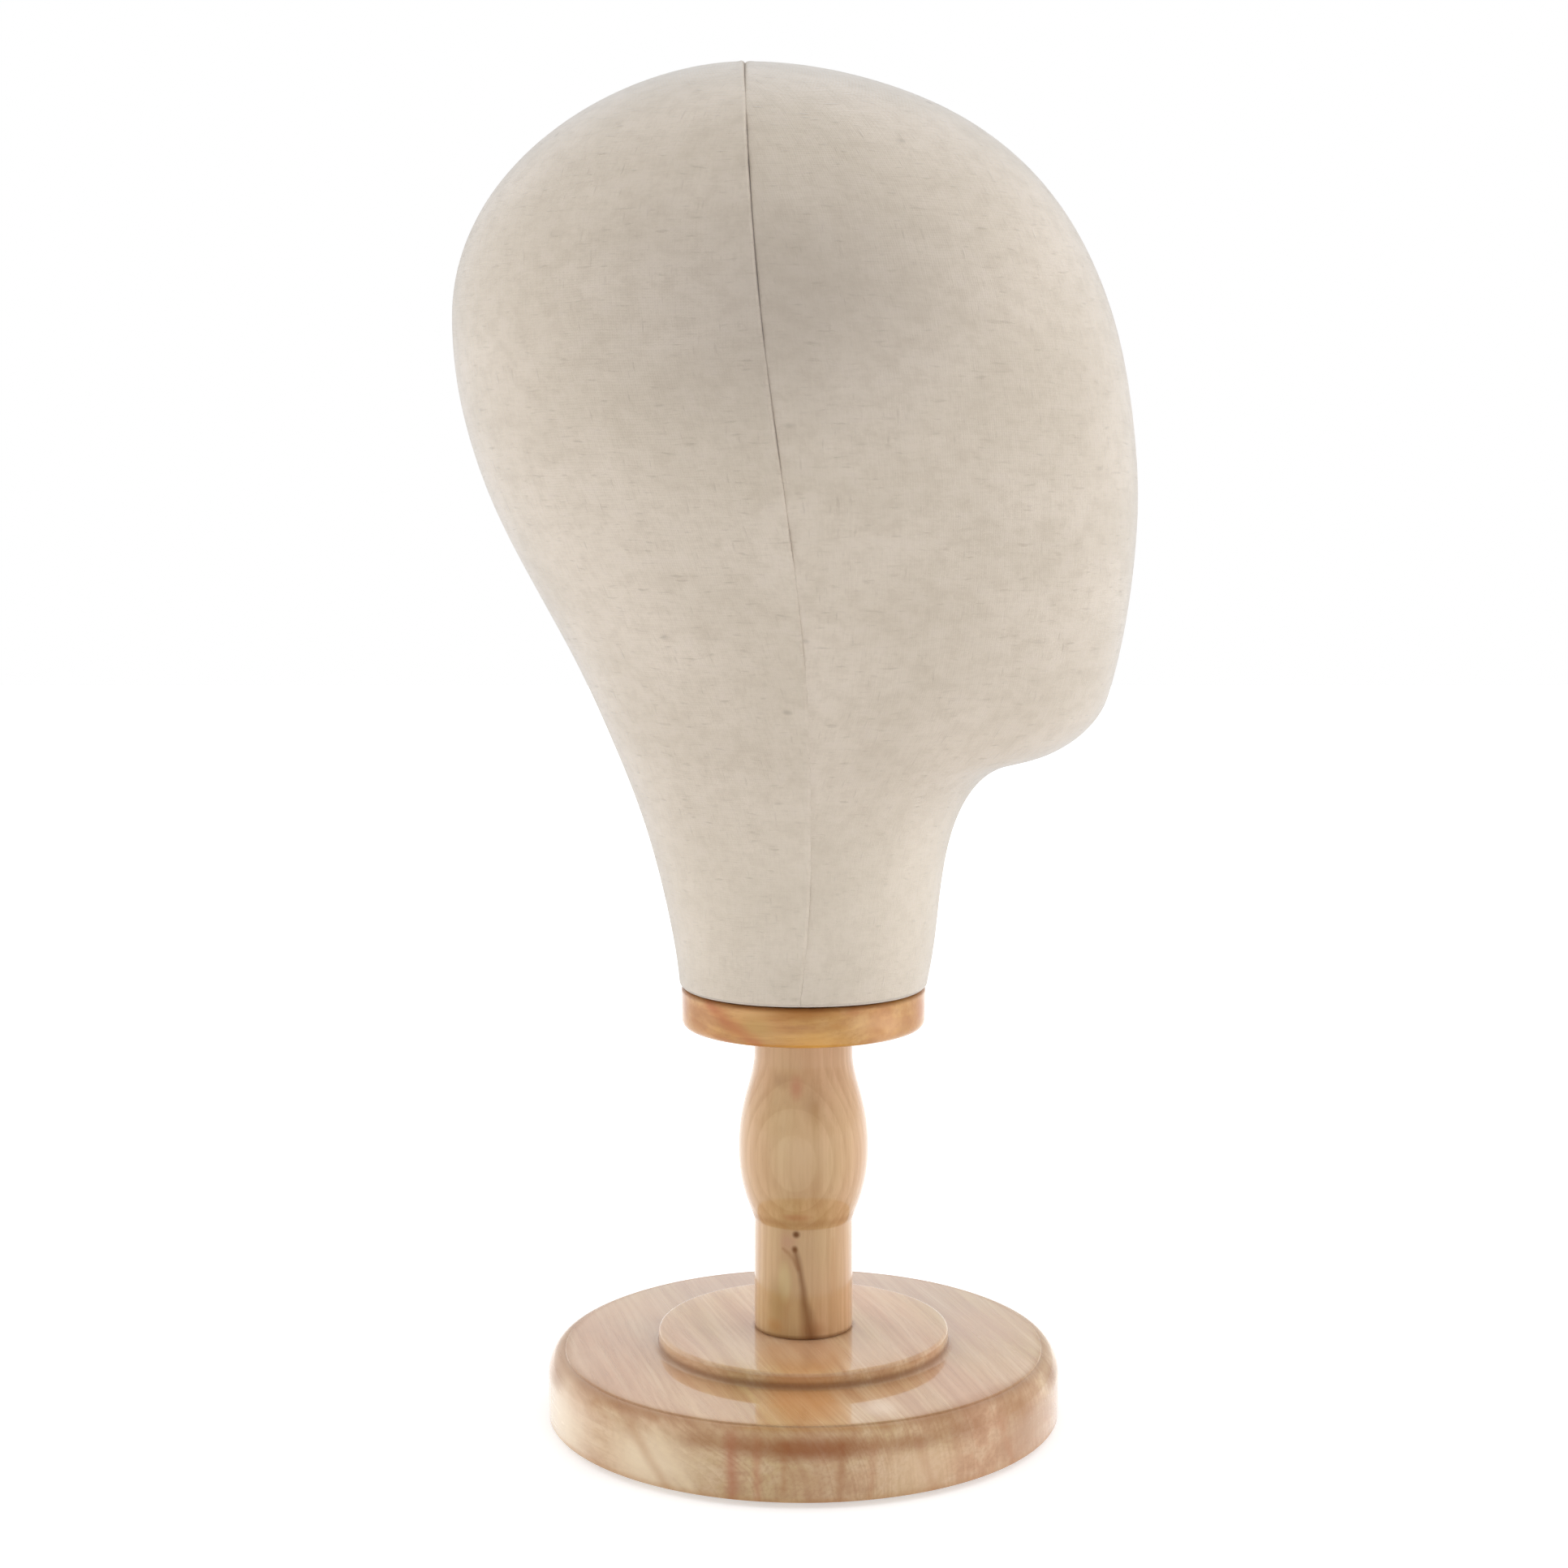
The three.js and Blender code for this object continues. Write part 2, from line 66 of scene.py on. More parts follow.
stageLook = {
    "cameraAway": 726,          # mm from the post's axis
    "cameraUp": 265,            # mm above the foot of the base
    "cameraDown": 0.110,        # radians below level
    "focalPixels": 3125,
    "framePixels": 1932,
    "axisPixel": 990,           # where the post's axis stands in the frame
    "sensor": 36,
    "skyLight": 1.63,           # all round, for the light that falls on the object
    # brighter and dimmer parts of the sky: direction, cosines where each starts and is full, change
    "skyParts": [((0, -0.8, 0.6), 0.05, 0.9, -1.6), ((0, -0.2, 1), 0.4, 1, 0.3),
                 ((-1, 0.1, 0.2), 0.1, 0.9, 0.56), ((1, 0.1, 0.2), 0.1, 0.9, 0.8),
                 ((0, 1, 0.25), 0.0, 0.85, -1.13)],
    "floorHalf": 3.0,           # metres
    "floorColour": paint(246, 246, 246),
    "footColour": paint(226, 226, 226),     # painted shade: a darker floor round the base, so that its wall keeps its own tone and the shade round it shows deeper
    "footReach": (0.07, 0.2),   # metres from the axis over which it turns into the floor's colour
    "floorLift": 0.5,           # brings the lit floor up to the white behind it
    "floorGlow": {"amount": 0.18, "near": 0.15, "far": 0.7},    # metres from the axis
    # lights: places and sizes in metres
    "sideLight": {"away": 1.3, "up": 0.75, "behind": 0.35, "size": (0.9, 1.5), "watts": 0.3},
    "topLight": {"up": 1.6, "behind": 0.2, "size": (1.2, 1.2), "watts": 0.2},
    "lightsFace": (0, 0, 0.22),
}


def makeCamera():
    half = stageLook["framePixels"] / 2
    data = bpy.data.cameras.new("camera")
    data.sensor_width = stageLook["sensor"]
    data.lens = stageLook["sensor"] * stageLook["focalPixels"] / stageLook["framePixels"]
    data.shift_x = (half - stageLook["axisPixel"]) / stageLook["framePixels"]
    camera = bpy.data.objects.new("camera", data)
    camera.location = (0, -stageLook["cameraAway"] * mm, (stageLook["cameraUp"] + baseBottom) * mm)
    camera.rotation_euler = (math.pi / 2 - stageLook["cameraDown"], 0, 0)
    bpy.context.scene.collection.objects.link(camera)
    bpy.context.scene.camera = camera


def addAreaLight(name, place, target, size, watts):
    data = bpy.data.lights.new(name, "AREA")
    data.shape = "RECTANGLE"
    data.size, data.size_y = size
    data.energy = watts
    light = bpy.data.objects.new(name, data)
    light.location = place
    light.rotation_euler = (Vector(target) - Vector(place)).to_track_quat("-Z", "Y").to_euler()
    bpy.context.scene.collection.objects.link(light)


def makeLights():
    look = stageLook["sideLight"]
    middle = stageLook["lightsFace"]
    for name, side in (("lightLeft", -1), ("lightRight", 1)):
        place = (side * look["away"], look["behind"], look["up"])
        addAreaLight(name, place, middle, look["size"], look["watts"])
    top = stageLook["topLight"]
    addAreaLight("lightTop", (0, top["behind"], top["up"]), middle, top["size"], top["watts"])


# seen rays: the ones that show the white behind the object, in the camera, a gloss or glass
def seenRays(tree):
    path = tree.nodes.new("ShaderNodeLightPath")
    seen = calc(tree, "MAXIMUM", path.outputs["Is Camera Ray"], path.outputs["Is Glossy Ray"])
    return calc(tree, "MAXIMUM", seen, path.outputs["Is Transmission Ray"])


def makeSky():
    world = bpy.data.worlds.new("sky")
    world.use_nodes = True
    tree = world.node_tree
    tree.nodes.clear()
    direction = tree.nodes.new("ShaderNodeTexCoord").outputs["Generated"]
    falling = stageLook["skyLight"]
    for towards, start, full, change in stageLook["skyParts"]:
        facing = vector(tree, "DOT_PRODUCT", direction, Vector(towards).normalized())
        falling = calc(tree, "MULTIPLY_ADD", rise(tree, facing, start, full), change, falling)
    seen = seenRays(tree)
    unseen = calc(tree, "MULTIPLY", calc(tree, "SUBTRACT", 1.0, seen), falling)
    strength = calc(tree, "ADD", seen, unseen)
    white = addNode(tree, "ShaderNodeBackground", {"Color": (1, 1, 1, 1), "Strength": strength})
    out = tree.nodes.new("ShaderNodeOutputWorld")
    tree.links.new(white.outputs[0], out.inputs["Surface"])
    bpy.context.scene.world = world


def makeFloor():
    half = stageLook["floorHalf"]
    corners = [(-half, -half, 0), (half, -half, 0), (half, half, 0), (-half, half, 0)]
    floor = addMesh("floor", corners, [(0, 1, 2, 3)])
    material = bpy.data.materials.new("paleFloor")
    material.use_nodes = True
    tree = material.node_tree
    tree.nodes.clear()
    path = tree.nodes.new("ShaderNodeLightPath")
    surface = tree.nodes.new("ShaderNodeNewGeometry")
    lit = litFloor(tree, surface.outputs["Position"])
    # a view from below looks through the floor
    below = calc(tree, "MULTIPLY", surface.outputs["Backfacing"], path.outputs["Is Camera Ray"])
    clear = tree.nodes.new("ShaderNodeBsdfTransparent")
    shown = addNode(tree, "ShaderNodeMixShader", {0: below, 1: lit, 2: clear.outputs[0]})
    out = tree.nodes.new("ShaderNodeOutputMaterial")
    tree.links.new(shown.outputs[0], out.inputs["Surface"])
    floor.data.materials.append(material)


# a matte floor, brought up to the white behind it, painted darker close round the base as shade, and
# glowing a little round the base
def litFloor(tree, place):
    seen = seenRays(tree)
    glow = stageLook["floorGlow"]
    away = vector(tree, "LENGTH", place)
    beyond = rise(tree, away, *stageLook["footReach"])
    colour = tint(tree, beyond, stageLook["footColour"], stageLook["floorColour"])
    matte = addNode(tree, "ShaderNodeBsdfDiffuse", {"Color": colour})
    glowing = calc(tree, "SUBTRACT", 1.0, rise(tree, away, glow["near"], glow["far"]))
    glowing = calc(tree, "MULTIPLY", glowing, glow["amount"])
    glowing = calc(tree, "MULTIPLY", calc(tree, "SUBTRACT", 1.0, seen), glowing)
    lift = calc(tree, "MULTIPLY_ADD", seen, stageLook["floorLift"], glowing)
    light = addNode(tree, "ShaderNodeEmission", {"Color": (1, 1, 1, 1), "Strength": lift})
    return addNode(tree, "ShaderNodeAddShader", {0: matte.outputs[0], 1: light.outputs[0]}).outputs[0]


# node helpers

def plug(tree, socket, value):
    if isinstance(value, bpy.types.NodeSocket):
        tree.links.new(value, socket)
    else:
        socket.default_value = value


def addNode(tree, kind, values, **settings):
    made = tree.nodes.new(kind)
    for name, value in settings.items():
        setattr(made, name, value)
    for key, value in values.items():
        plug(tree, made.inputs[key], value)
    return made


def calc(tree, operation, first, second=0.0, third=0.0):
    made = addNode(tree, "ShaderNodeMath", {0: first, 1: second}, operation=operation)
    if operation == "MULTIPLY_ADD":
        plug(tree, made.inputs[2], third)
    return made.outputs[0]


def vector(tree, operation, first, second=None):
    values = {0: first} if second is None else {0: first, 1: second}
    made = addNode(tree, "ShaderNodeVectorMath", values, operation=operation)
    measured = operation in ("LENGTH", "DISTANCE", "DOT_PRODUCT")
    return made.outputs["Value" if measured else "Vector"]


def scaleBy(tree, place, factor):
    made = addNode(tree, "ShaderNodeVectorMath", {0: place, "Scale": factor}, operation="SCALE")
    return made.outputs["Vector"]


def stretch(tree, place, scales):
    return vector(tree, "MULTIPLY", place, scales)


# smooth step from 0 at low to 1 at high
def rise(tree, value, low, high):
    values = {"Value": value, "From Min": low, "From Max": high}
    made = addNode(tree, "ShaderNodeMapRange", values, interpolation_type="SMOOTHSTEP")
    return made.outputs["Result"]


def cloud(tree, place, scales, detail=2.0, roughness=0.5):
    values = {"Vector": stretch(tree, place, scales), "Scale": 1.0, "Detail": detail,
              "Roughness": roughness}
    return addNode(tree, "ShaderNodeTexNoise", values).outputs[0]


def tint(tree, amount, under, over):
    made = addNode(tree, "ShaderNodeMix", {0: amount, 6: under, 7: over}, data_type="RGBA")
    return made.outputs[2]


# lays a look's colours over each other, each by its mask and amount
def layer(tree, colour, look, layers):
    for mask, amount, name in layers:
        colour = tint(tree, calc(tree, "MULTIPLY", mask, amount), colour, look[name])
    return colour


def startGroup(name, inputs, outputs):
    group = bpy.data.node_groups.new(name, "ShaderNodeTree")
    for socketName, kind, value in inputs:
        socket = group.interface.new_socket(name=socketName, in_out="INPUT",
                                            socket_type="NodeSocket" + kind)
        socket.default_value = value
    for socketName in outputs:
        group.interface.new_socket(name=socketName, in_out="OUTPUT", socket_type="NodeSocketFloat")
    start = group.nodes.new("NodeGroupInput")
    end = group.nodes.new("NodeGroupOutput")
    return group, start.outputs, end.inputs


def useGroup(tree, group, values):
    made = tree.nodes.new("ShaderNodeGroup")
    made.node_tree = group
    for key, value in values.items():
        plug(tree, made.inputs[key], value)
    return made.outputs


def startMaterial(name):
    material = bpy.data.materials.new(name)
    material.use_nodes = True
    tree = material.node_tree
    shader = tree.nodes["Principled BSDF"]
    return material, tree, shader.inputs


def addBump(tree, shaderInputs, height, depth, strength=1.0):
    values = {"Height": height, "Distance": depth, "Strength": strength}
    bump = addNode(tree, "ShaderNodeBump", values)
    tree.links.new(bump.outputs[0], shaderInputs["Normal"])


def objectPlace(tree):
    return tree.nodes.new("ShaderNodeTexCoord").outputs["Object"]


def metres(values):
    return [value * mm for value in values]


# effects that several materials share

# cells of noise to the mm, across the plank twice and along it
grainCells = {
    "bend": (0.022, 0.022, 0.006),
    "fibre": (0.9, 0.9, 0.035),
    "pore": (3.4, 3.4, 0.16),
    "blotch": (0.035, 0.035, 0.012),
    "band": (0.2, 0.2, 0.012),
    "years": 0.21,
}
# how much each stands up, or a pore goes in, as shares of the bump's depth
grainHeights = {"fibre": 0.6, "late": 0.25, "pore": -0.6}


# wood grain: Vector is in metres in the plank's own axes, and the pith runs along Z
def makeGrainGroup():
    inputs = [("Vector", "Vector", (0, 0, 0)), ("Spacing", "Float", 2.5), ("Wobble", "Float", 3.0),
              ("Drift", "Float", 0.6)]
    outputs = ["Ring", "Fibre", "Pore", "Blotch", "Band", "Height"]
    group, given, result = startGroup("woodGrain", inputs, outputs)
    place = stretch(group, given["Vector"], (1 / mm, 1 / mm, 1 / mm))
    bent = bendGrain(group, place, given["Wobble"])
    late = lateWood(group, bent, given["Spacing"], given["Drift"])
    fibre = cloud(group, bent, grainCells["fibre"], 4.0, 0.6)
    pore = rise(group, cloud(group, bent, grainCells["pore"], 2.0, 0.6), 0.6, 0.74)
    height = calc(group, "MULTIPLY", late, grainHeights["late"])
    height = calc(group, "MULTIPLY_ADD", fibre, grainHeights["fibre"], height)
    height = calc(group, "MULTIPLY_ADD", pore, grainHeights["pore"], height)
    plug(group, result["Ring"], late)
    plug(group, result["Fibre"], fibre)
    plug(group, result["Pore"], pore)
    plug(group, result["Blotch"], cloud(group, place, grainCells["blotch"], 3.0))
    plug(group, result["Band"], cloud(group, bent, grainCells["band"]))
    plug(group, result["Height"], height)
    return group


# the fibres wander from straight lines by up to half the wobble
def bendGrain(group, place, wobble):
    values = {"Vector": stretch(group, place, grainCells["bend"]), "Scale": 1.0, "Detail": 2.0}
    bend = addNode(group, "ShaderNodeTexNoise", values).outputs["Color"]
    centred = vector(group, "SUBTRACT", bend, (0.5, 0.5, 0.5))
    return vector(group, "ADD", place, scaleBy(group, centred, wobble))


# the dark late wood of each year's ring round the pith: rings differ in width by the drift
def lateWood(group, place, spacing, drift):
    out = vector(group, "LENGTH", stretch(group, place, (1, 1, 0)))
    values = {"W": calc(group, "MULTIPLY", out, grainCells["years"]), "Scale": 1.0, "Detail": 1.0}
    years = addNode(group, "ShaderNodeTexNoise", values, noise_dimensions="1D").outputs[0]
    count = calc(group, "MULTIPLY_ADD", years, drift, calc(group, "DIVIDE", out, spacing))
    share = calc(group, "FRACT", count)
    return calc(group, "MULTIPLY", rise(group, share, 0.2, 0.9), rise(group, share, 1.0, 0.93))


# breaks up a mark's rim with noise of so many cells to the metre
def roughen(group, reach, place, cells, amount):
    noise = calc(group, "SUBTRACT", cloud(group, place, cells), 0.5)
    return calc(group, "MULTIPLY_ADD", noise, amount, reach)


# a soft-edged patch: an ellipsoid with its radii in metres
def makePatchGroup():
    inputs = [("Vector", "Vector", (0, 0, 0)), ("Centre", "Vector", (0, 0, 0)),
              ("Radii", "Vector", (1, 1, 1)), ("Softness", "Float", 0.5), ("Ragged", "Float", 0.16)]
    group, given, result = startGroup("softPatch", inputs, ["Mask"])
    away = vector(group, "SUBTRACT", given["Vector"], given["Centre"])
    reach = vector(group, "LENGTH", vector(group, "DIVIDE", away, given["Radii"]))
    reach = roughen(group, reach, given["Vector"], (170, 170, 80), given["Ragged"])
    inner = calc(group, "SUBTRACT", 1.0, given["Softness"])
    plug(group, result["Mask"], rise(group, reach, 1.0, inner))
    return group


# a line round a turned piece, in a corner or along an edge: Radius, Height and Reach are in metres
def makeRingGroup():
    inputs = [("Vector", "Vector", (0, 0, 0)), ("Radius", "Float", 0.01), ("Height", "Float", 0.0),
              ("Reach", "Float", 0.001)]
    group, given, result = startGroup("ringLine", inputs, ["Mask"])
    height = addNode(group, "ShaderNodeSeparateXYZ", {0: given["Vector"]}).outputs[2]
    out = vector(group, "LENGTH", stretch(group, given["Vector"], (1, 1, 0)))
    gaps = addNode(group, "ShaderNodeCombineXYZ", {0: calc(group, "SUBTRACT", out, given["Radius"]),
                                                   1: calc(group, "SUBTRACT", height, given["Height"])})
    share = calc(group, "DIVIDE", vector(group, "LENGTH", gaps.outputs[0]), given["Reach"])
    share = roughen(group, share, given["Vector"], (45, 45, 45), 0.5)
    plug(group, result["Mask"], rise(group, share, 1.0, 0.0))
    return group


# a streak from Start to End, in metres, with its half width at each end
def makeStreakGroup():
    inputs = [("Vector", "Vector", (0, 0, 0)), ("Start", "Vector", (0, 0, 0)),
              ("End", "Vector", (0, 0, 0.01)), ("Width", "Float", 0.001), ("End Width", "Float", 0.001)]
    group, given, result = startGroup("streakLine", inputs, ["Mask"])
    along = vector(group, "SUBTRACT", given["End"], given["Start"])
    away = vector(group, "SUBTRACT", given["Vector"], given["Start"])
    share = calc(group, "DIVIDE", vector(group, "DOT_PRODUCT", away, along),
                 vector(group, "DOT_PRODUCT", along, along))
    share = calc(group, "MINIMUM", calc(group, "MAXIMUM", share, 0.0), 1.0)
    gap = vector(group, "DISTANCE", away, scaleBy(group, along, share))
    widening = calc(group, "SUBTRACT", given["End Width"], given["Width"])
    width = calc(group, "MULTIPLY_ADD", widening, share, given["Width"])
    reach = roughen(group, calc(group, "DIVIDE", gap, width), given["Vector"], (240, 240, 120), 0.35)
    plug(group, result["Mask"], rise(group, reach, 1.0, -0.1))
    return group


# cells of noise to the metre, across the cloth, up it and through it
weaveCells = {
    "warpTone": (1200, 230, 1), "weftTone": (210, 1200, 1),
    "weftSlub": (160, 900, 1), "warpSlub": (900, 170, 7), "longSlub": (80, 640, 11),
    "fleck": (52, 104, 1), "rare": (25, 25, 1),
    "cloud": (22, 30, 1), "mottle": (150, 210, 3),
}
weaveHeights = {"thread": 0.35, "slub": 0.5, "tone": 1.5}     # shares of the bump's depth


# plain-woven linen: Vector is the cloth's own flat place in metres
def makeWeaveGroup():
    inputs = [("Vector", "Vector", (0, 0, 0)), ("Threads", "Float", 1500.0)]
    outputs = ["Height", "Thread", "Slub", "Fleck", "Cloud", "Mottle"]
    group, given, result = startGroup("linenWeave", inputs, outputs)
    place = waverThreads(group, given["Vector"])
    warpTone = cloud(group, place, weaveCells["warpTone"], 3.0, 0.6)
    weftTone = cloud(group, place, weaveCells["weftTone"], 3.0, 0.6)
    tone = calc(group, "MULTIPLY", calc(group, "ADD", warpTone, weftTone), 0.5)
    slub = slubMask(group, place)
    woven = wovenThreads(group, place, given["Threads"])
    height = calc(group, "MULTIPLY", woven, weaveHeights["thread"])
    height = calc(group, "MULTIPLY_ADD", slub, weaveHeights["slub"], height)
    height = calc(group, "MULTIPLY_ADD", tone, weaveHeights["tone"], height)
    plug(group, result["Height"], height)
    plug(group, result["Thread"], tone)
    plug(group, result["Slub"], slub)
    plug(group, result["Fleck"], fleckMask(group, place))
    plug(group, result["Cloud"], cloud(group, place, weaveCells["cloud"], 3.0, 0.55))
    plug(group, result["Mottle"], cloud(group, place, weaveCells["mottle"], 4.0, 0.65))
    return group


# hand-spun threads don't run quite straight
def waverThreads(group, place):
    waver = addNode(group, "ShaderNodeTexNoise", {"Vector": place, "Scale": 60.0, "Detail": 1.0})
    return vector(group, "ADD", place, scaleBy(group, waver.outputs["Color"], 0.0016))


# round threads that go over and under each other in turn
def wovenThreads(group, place, threads):
    parts = addNode(group, "ShaderNodeSeparateXYZ", {0: scaleBy(group, place, threads)})
    profiles = []
    counts = []
    for axis in (0, 1):
        wave = calc(group, "SINE", calc(group, "MULTIPLY", parts.outputs[axis], math.pi))
        profiles.append(calc(group, "ABSOLUTE", wave))
        counts.append(calc(group, "FLOOR", parts.outputs[axis]))
    over = calc(group, "PINGPONG", calc(group, "ADD", *counts), 1.0)
    weft = calc(group, "MULTIPLY", profiles[1], calc(group, "MULTIPLY_ADD", over, 0.5, 0.5))
    warp = calc(group, "MULTIPLY", profiles[0], calc(group, "MULTIPLY_ADD", over, -0.5, 1.0))
    return calc(group, "MAXIMUM", weft, warp)


# thick places in the threads: the weft's are the strongest
def slubMask(group, place):
    slub = rise(group, cloud(group, place, weaveCells["weftSlub"], 1.0), 0.62, 0.8)
    for name, low, high in (("warpSlub", 0.64, 0.82), ("longSlub", 0.68, 0.84)):
        other = rise(group, cloud(group, place, weaveCells[name], 1.0), low, high)
        slub = calc(group, "MAXIMUM", slub, calc(group, "MULTIPLY", other, 0.8))
    return slub


# small dark flecks of husk, in a few places only
def fleckMask(group, place):
    values = {"Vector": stretch(group, place, weaveCells["fleck"]), "Scale": 1.0}
    cells = addNode(group, "ShaderNodeTexVoronoi", values)
    rare = rise(group, cloud(group, place, weaveCells["rare"], 1.0), 0.52, 0.6)
    return calc(group, "MULTIPLY", rise(group, cells.outputs["Distance"], 0.13, 0.02), rare)


# marks on bare metal, with its length along Z
def makeMetalGroup():
    inputs = [("Vector", "Vector", (0, 0, 0))]
    group, given, result = startGroup("metalMarks", inputs, ["Brushing", "Tarnish"])
    plug(group, result["Brushing"], cloud(group, given["Vector"], (900, 900, 5200), 3.0, 0.6))
    plug(group, result["Tarnish"], cloud(group, given["Vector"], (260, 260, 260), 4.0, 0.65))
    return group


# wood: the pith is in mm and the fibre's direction in degrees

baseWoodLook = {
    "pith": (-78, 20, -8),
    "fibre": (90, 0, 17),
    "spacing": 6.0, "wobble": 16.0, "drift": 4.0,
    "early": paint(214, 179, 137), "late": paint(175, 124, 82),
    "pinkish": paint(210, 159, 126), "greenish": paint(206, 179, 126),
    "pale": paint(233, 208, 173), "poreColour": paint(143, 92, 56),
    "ringAmount": 0.22, "fibreAmount": 0.32, "poreAmount": 0.12, "bandAmount": 0.32,
    "coatRoughness": 0.05, "roughness": 0.26,
    # painted dark reflections, where the lacquer mirrors something dark, all along the shoulder: centre
    # and radii in mm, colour, amount and softness
    "paintedDarkReflectionsAndDots": [((0, -73, 16.4), (34, 12, 4.8), paint(146, 80, 38), 0.78, 0.85),
                  ((-27, -69, 17.2), (12, 6, 4.2), paint(150, 98, 52), 0.42, 0.9),
                  ((29, -68, 16.0), (13, 8, 3.8), paint(150, 92, 50), 0.5, 0.9),
                  ((42, -60, 17.0), (17, 14, 6.4), paint(152, 94, 54), 0.52, 1.0),
                  ((60, -44, 17.0), (14, 16, 6.4), paint(164, 110, 66), 0.45, 1.0),
                  ((-70.5, -20, 17.5), (6, 17, 4), paint(141, 87, 47), 0.45, 0.9),
                  ((70.5, -18, 17.5), (6, 17, 4), paint(134, 76, 35), 0.6, 0.9)],
    # patches: centre and radii in mm, colour, amount and softness. The first is painted shade, grey, over
    # the whole flat top, where the light from above falls hardest; the second is the post's painted
    # reflection on the flat top in front of it
    "patches": [((0, 30, 22), (86, 74, 4.5), paint(178, 159, 149), 0.48, 0.6),
                ((0, -48, 23), (15, 30, 5), paint(206, 149, 92), 0.65, 0.5),
                ((-42, -61, 8), (28, 22, 15), paint(246, 224, 190), 0.86, 1.0),
                ((31, -67, 8), (20, 18, 13), paint(238, 204, 166), 0.55, 1.0),
                ((-68, -26, 9), (20, 44, 18), paint(250, 230, 200), 0.88, 1.0),
                ((62, -43, 10), (17, 26, 14), paint(180, 135, 98), 0.72, 1.0),
                ((1, -75, 8), (18, 5, 9), paint(180, 130, 80), 0.36, 0.9),
                ((0, -27, 26.2), (15, 17, 2.4), paint(188, 124, 62), 0.42, 0.4),
                ((21, -56, 21), (7, 9, 3), paint(240, 218, 192), 0.5, 0.9),
                ((52, 10, 21), (26, 30, 3), paint(212, 167, 143), 0.35, 0.9),
                ((-50, 30, 21), (24, 20, 3), paint(218, 179, 143), 0.3, 0.9),
                ((-4, -20, 26), (40, 24, 2.5), paint(220, 190, 163), 0.3, 0.8)],
    # streaks: points with the half width at each in mm, colour and amount. The last two are painted dark
    # reflection along the top of the shoulder, at front left and front right
    "streaks": [([(-19.5, -72.3, 19, 3.6), (-19, -72.6, 1, 2.8)], paint(179, 100, 72), 0.55),
                ([(-12.6, -73.8, 19, 2.4), (-12.2, -74, 2, 2.0)], paint(190, 115, 82), 0.42),
                ([(-5, -74.8, 18, 2.0), (-5.4, -74.9, 4, 1.6)], paint(179, 122, 80), 0.4),
                ([(10.6, -74, 19, 2.6), (9.6, -74.2, 1, 2.0)], paint(169, 110, 68), 0.42),
                ([(19, -72.5, 17, 2.0), (18, -72.8, 3, 1.8)], paint(184, 124, 83), 0.35),
                ([(-47, -58, 17, 3.6), (-36, -65.7, 1, 2.6)], paint(188, 139, 98), 0.45),
                ([(-41, -62.6, 18, 2.6), (-29, -69.2, 1, 2.0)], paint(242, 218, 182), 0.5),
                ([(31, -68, 16, 2.6), (35, -66, 2, 2.4)], paint(196, 147, 113), 0.4),
                ([(54, -51, 15, 3.0), (58, -47, 2, 2.4)], paint(194, 139, 104), 0.4),
                ([(-58, -45, 19, 2.4), (-40, -60, 19.5, 2.4)], paint(173, 119, 72), 0.4),
                ([(36, -60, 19.6, 4.4), (62, -34, 19.6, 4.4)], paint(160, 104, 62), 0.34)],
    # rings: radius, height and reach in mm, colour and amount. They darken the cove at the step's foot,
    # the shoulder and the foot of the wall, and the last is painted shade in the joint at the post's foot
    "rings": [(43.0, 22.2, 2.0, paint(132, 84, 42), 0.72),
              (70.6, 20.2, 3.4, paint(152, 106, 64), 0.46),
              (75.3, 1.6, 2.2, paint(192, 139, 87), 0.45),
              (14.5, 26.3, 1.0, paint(124, 76, 40), 0.4)],
}
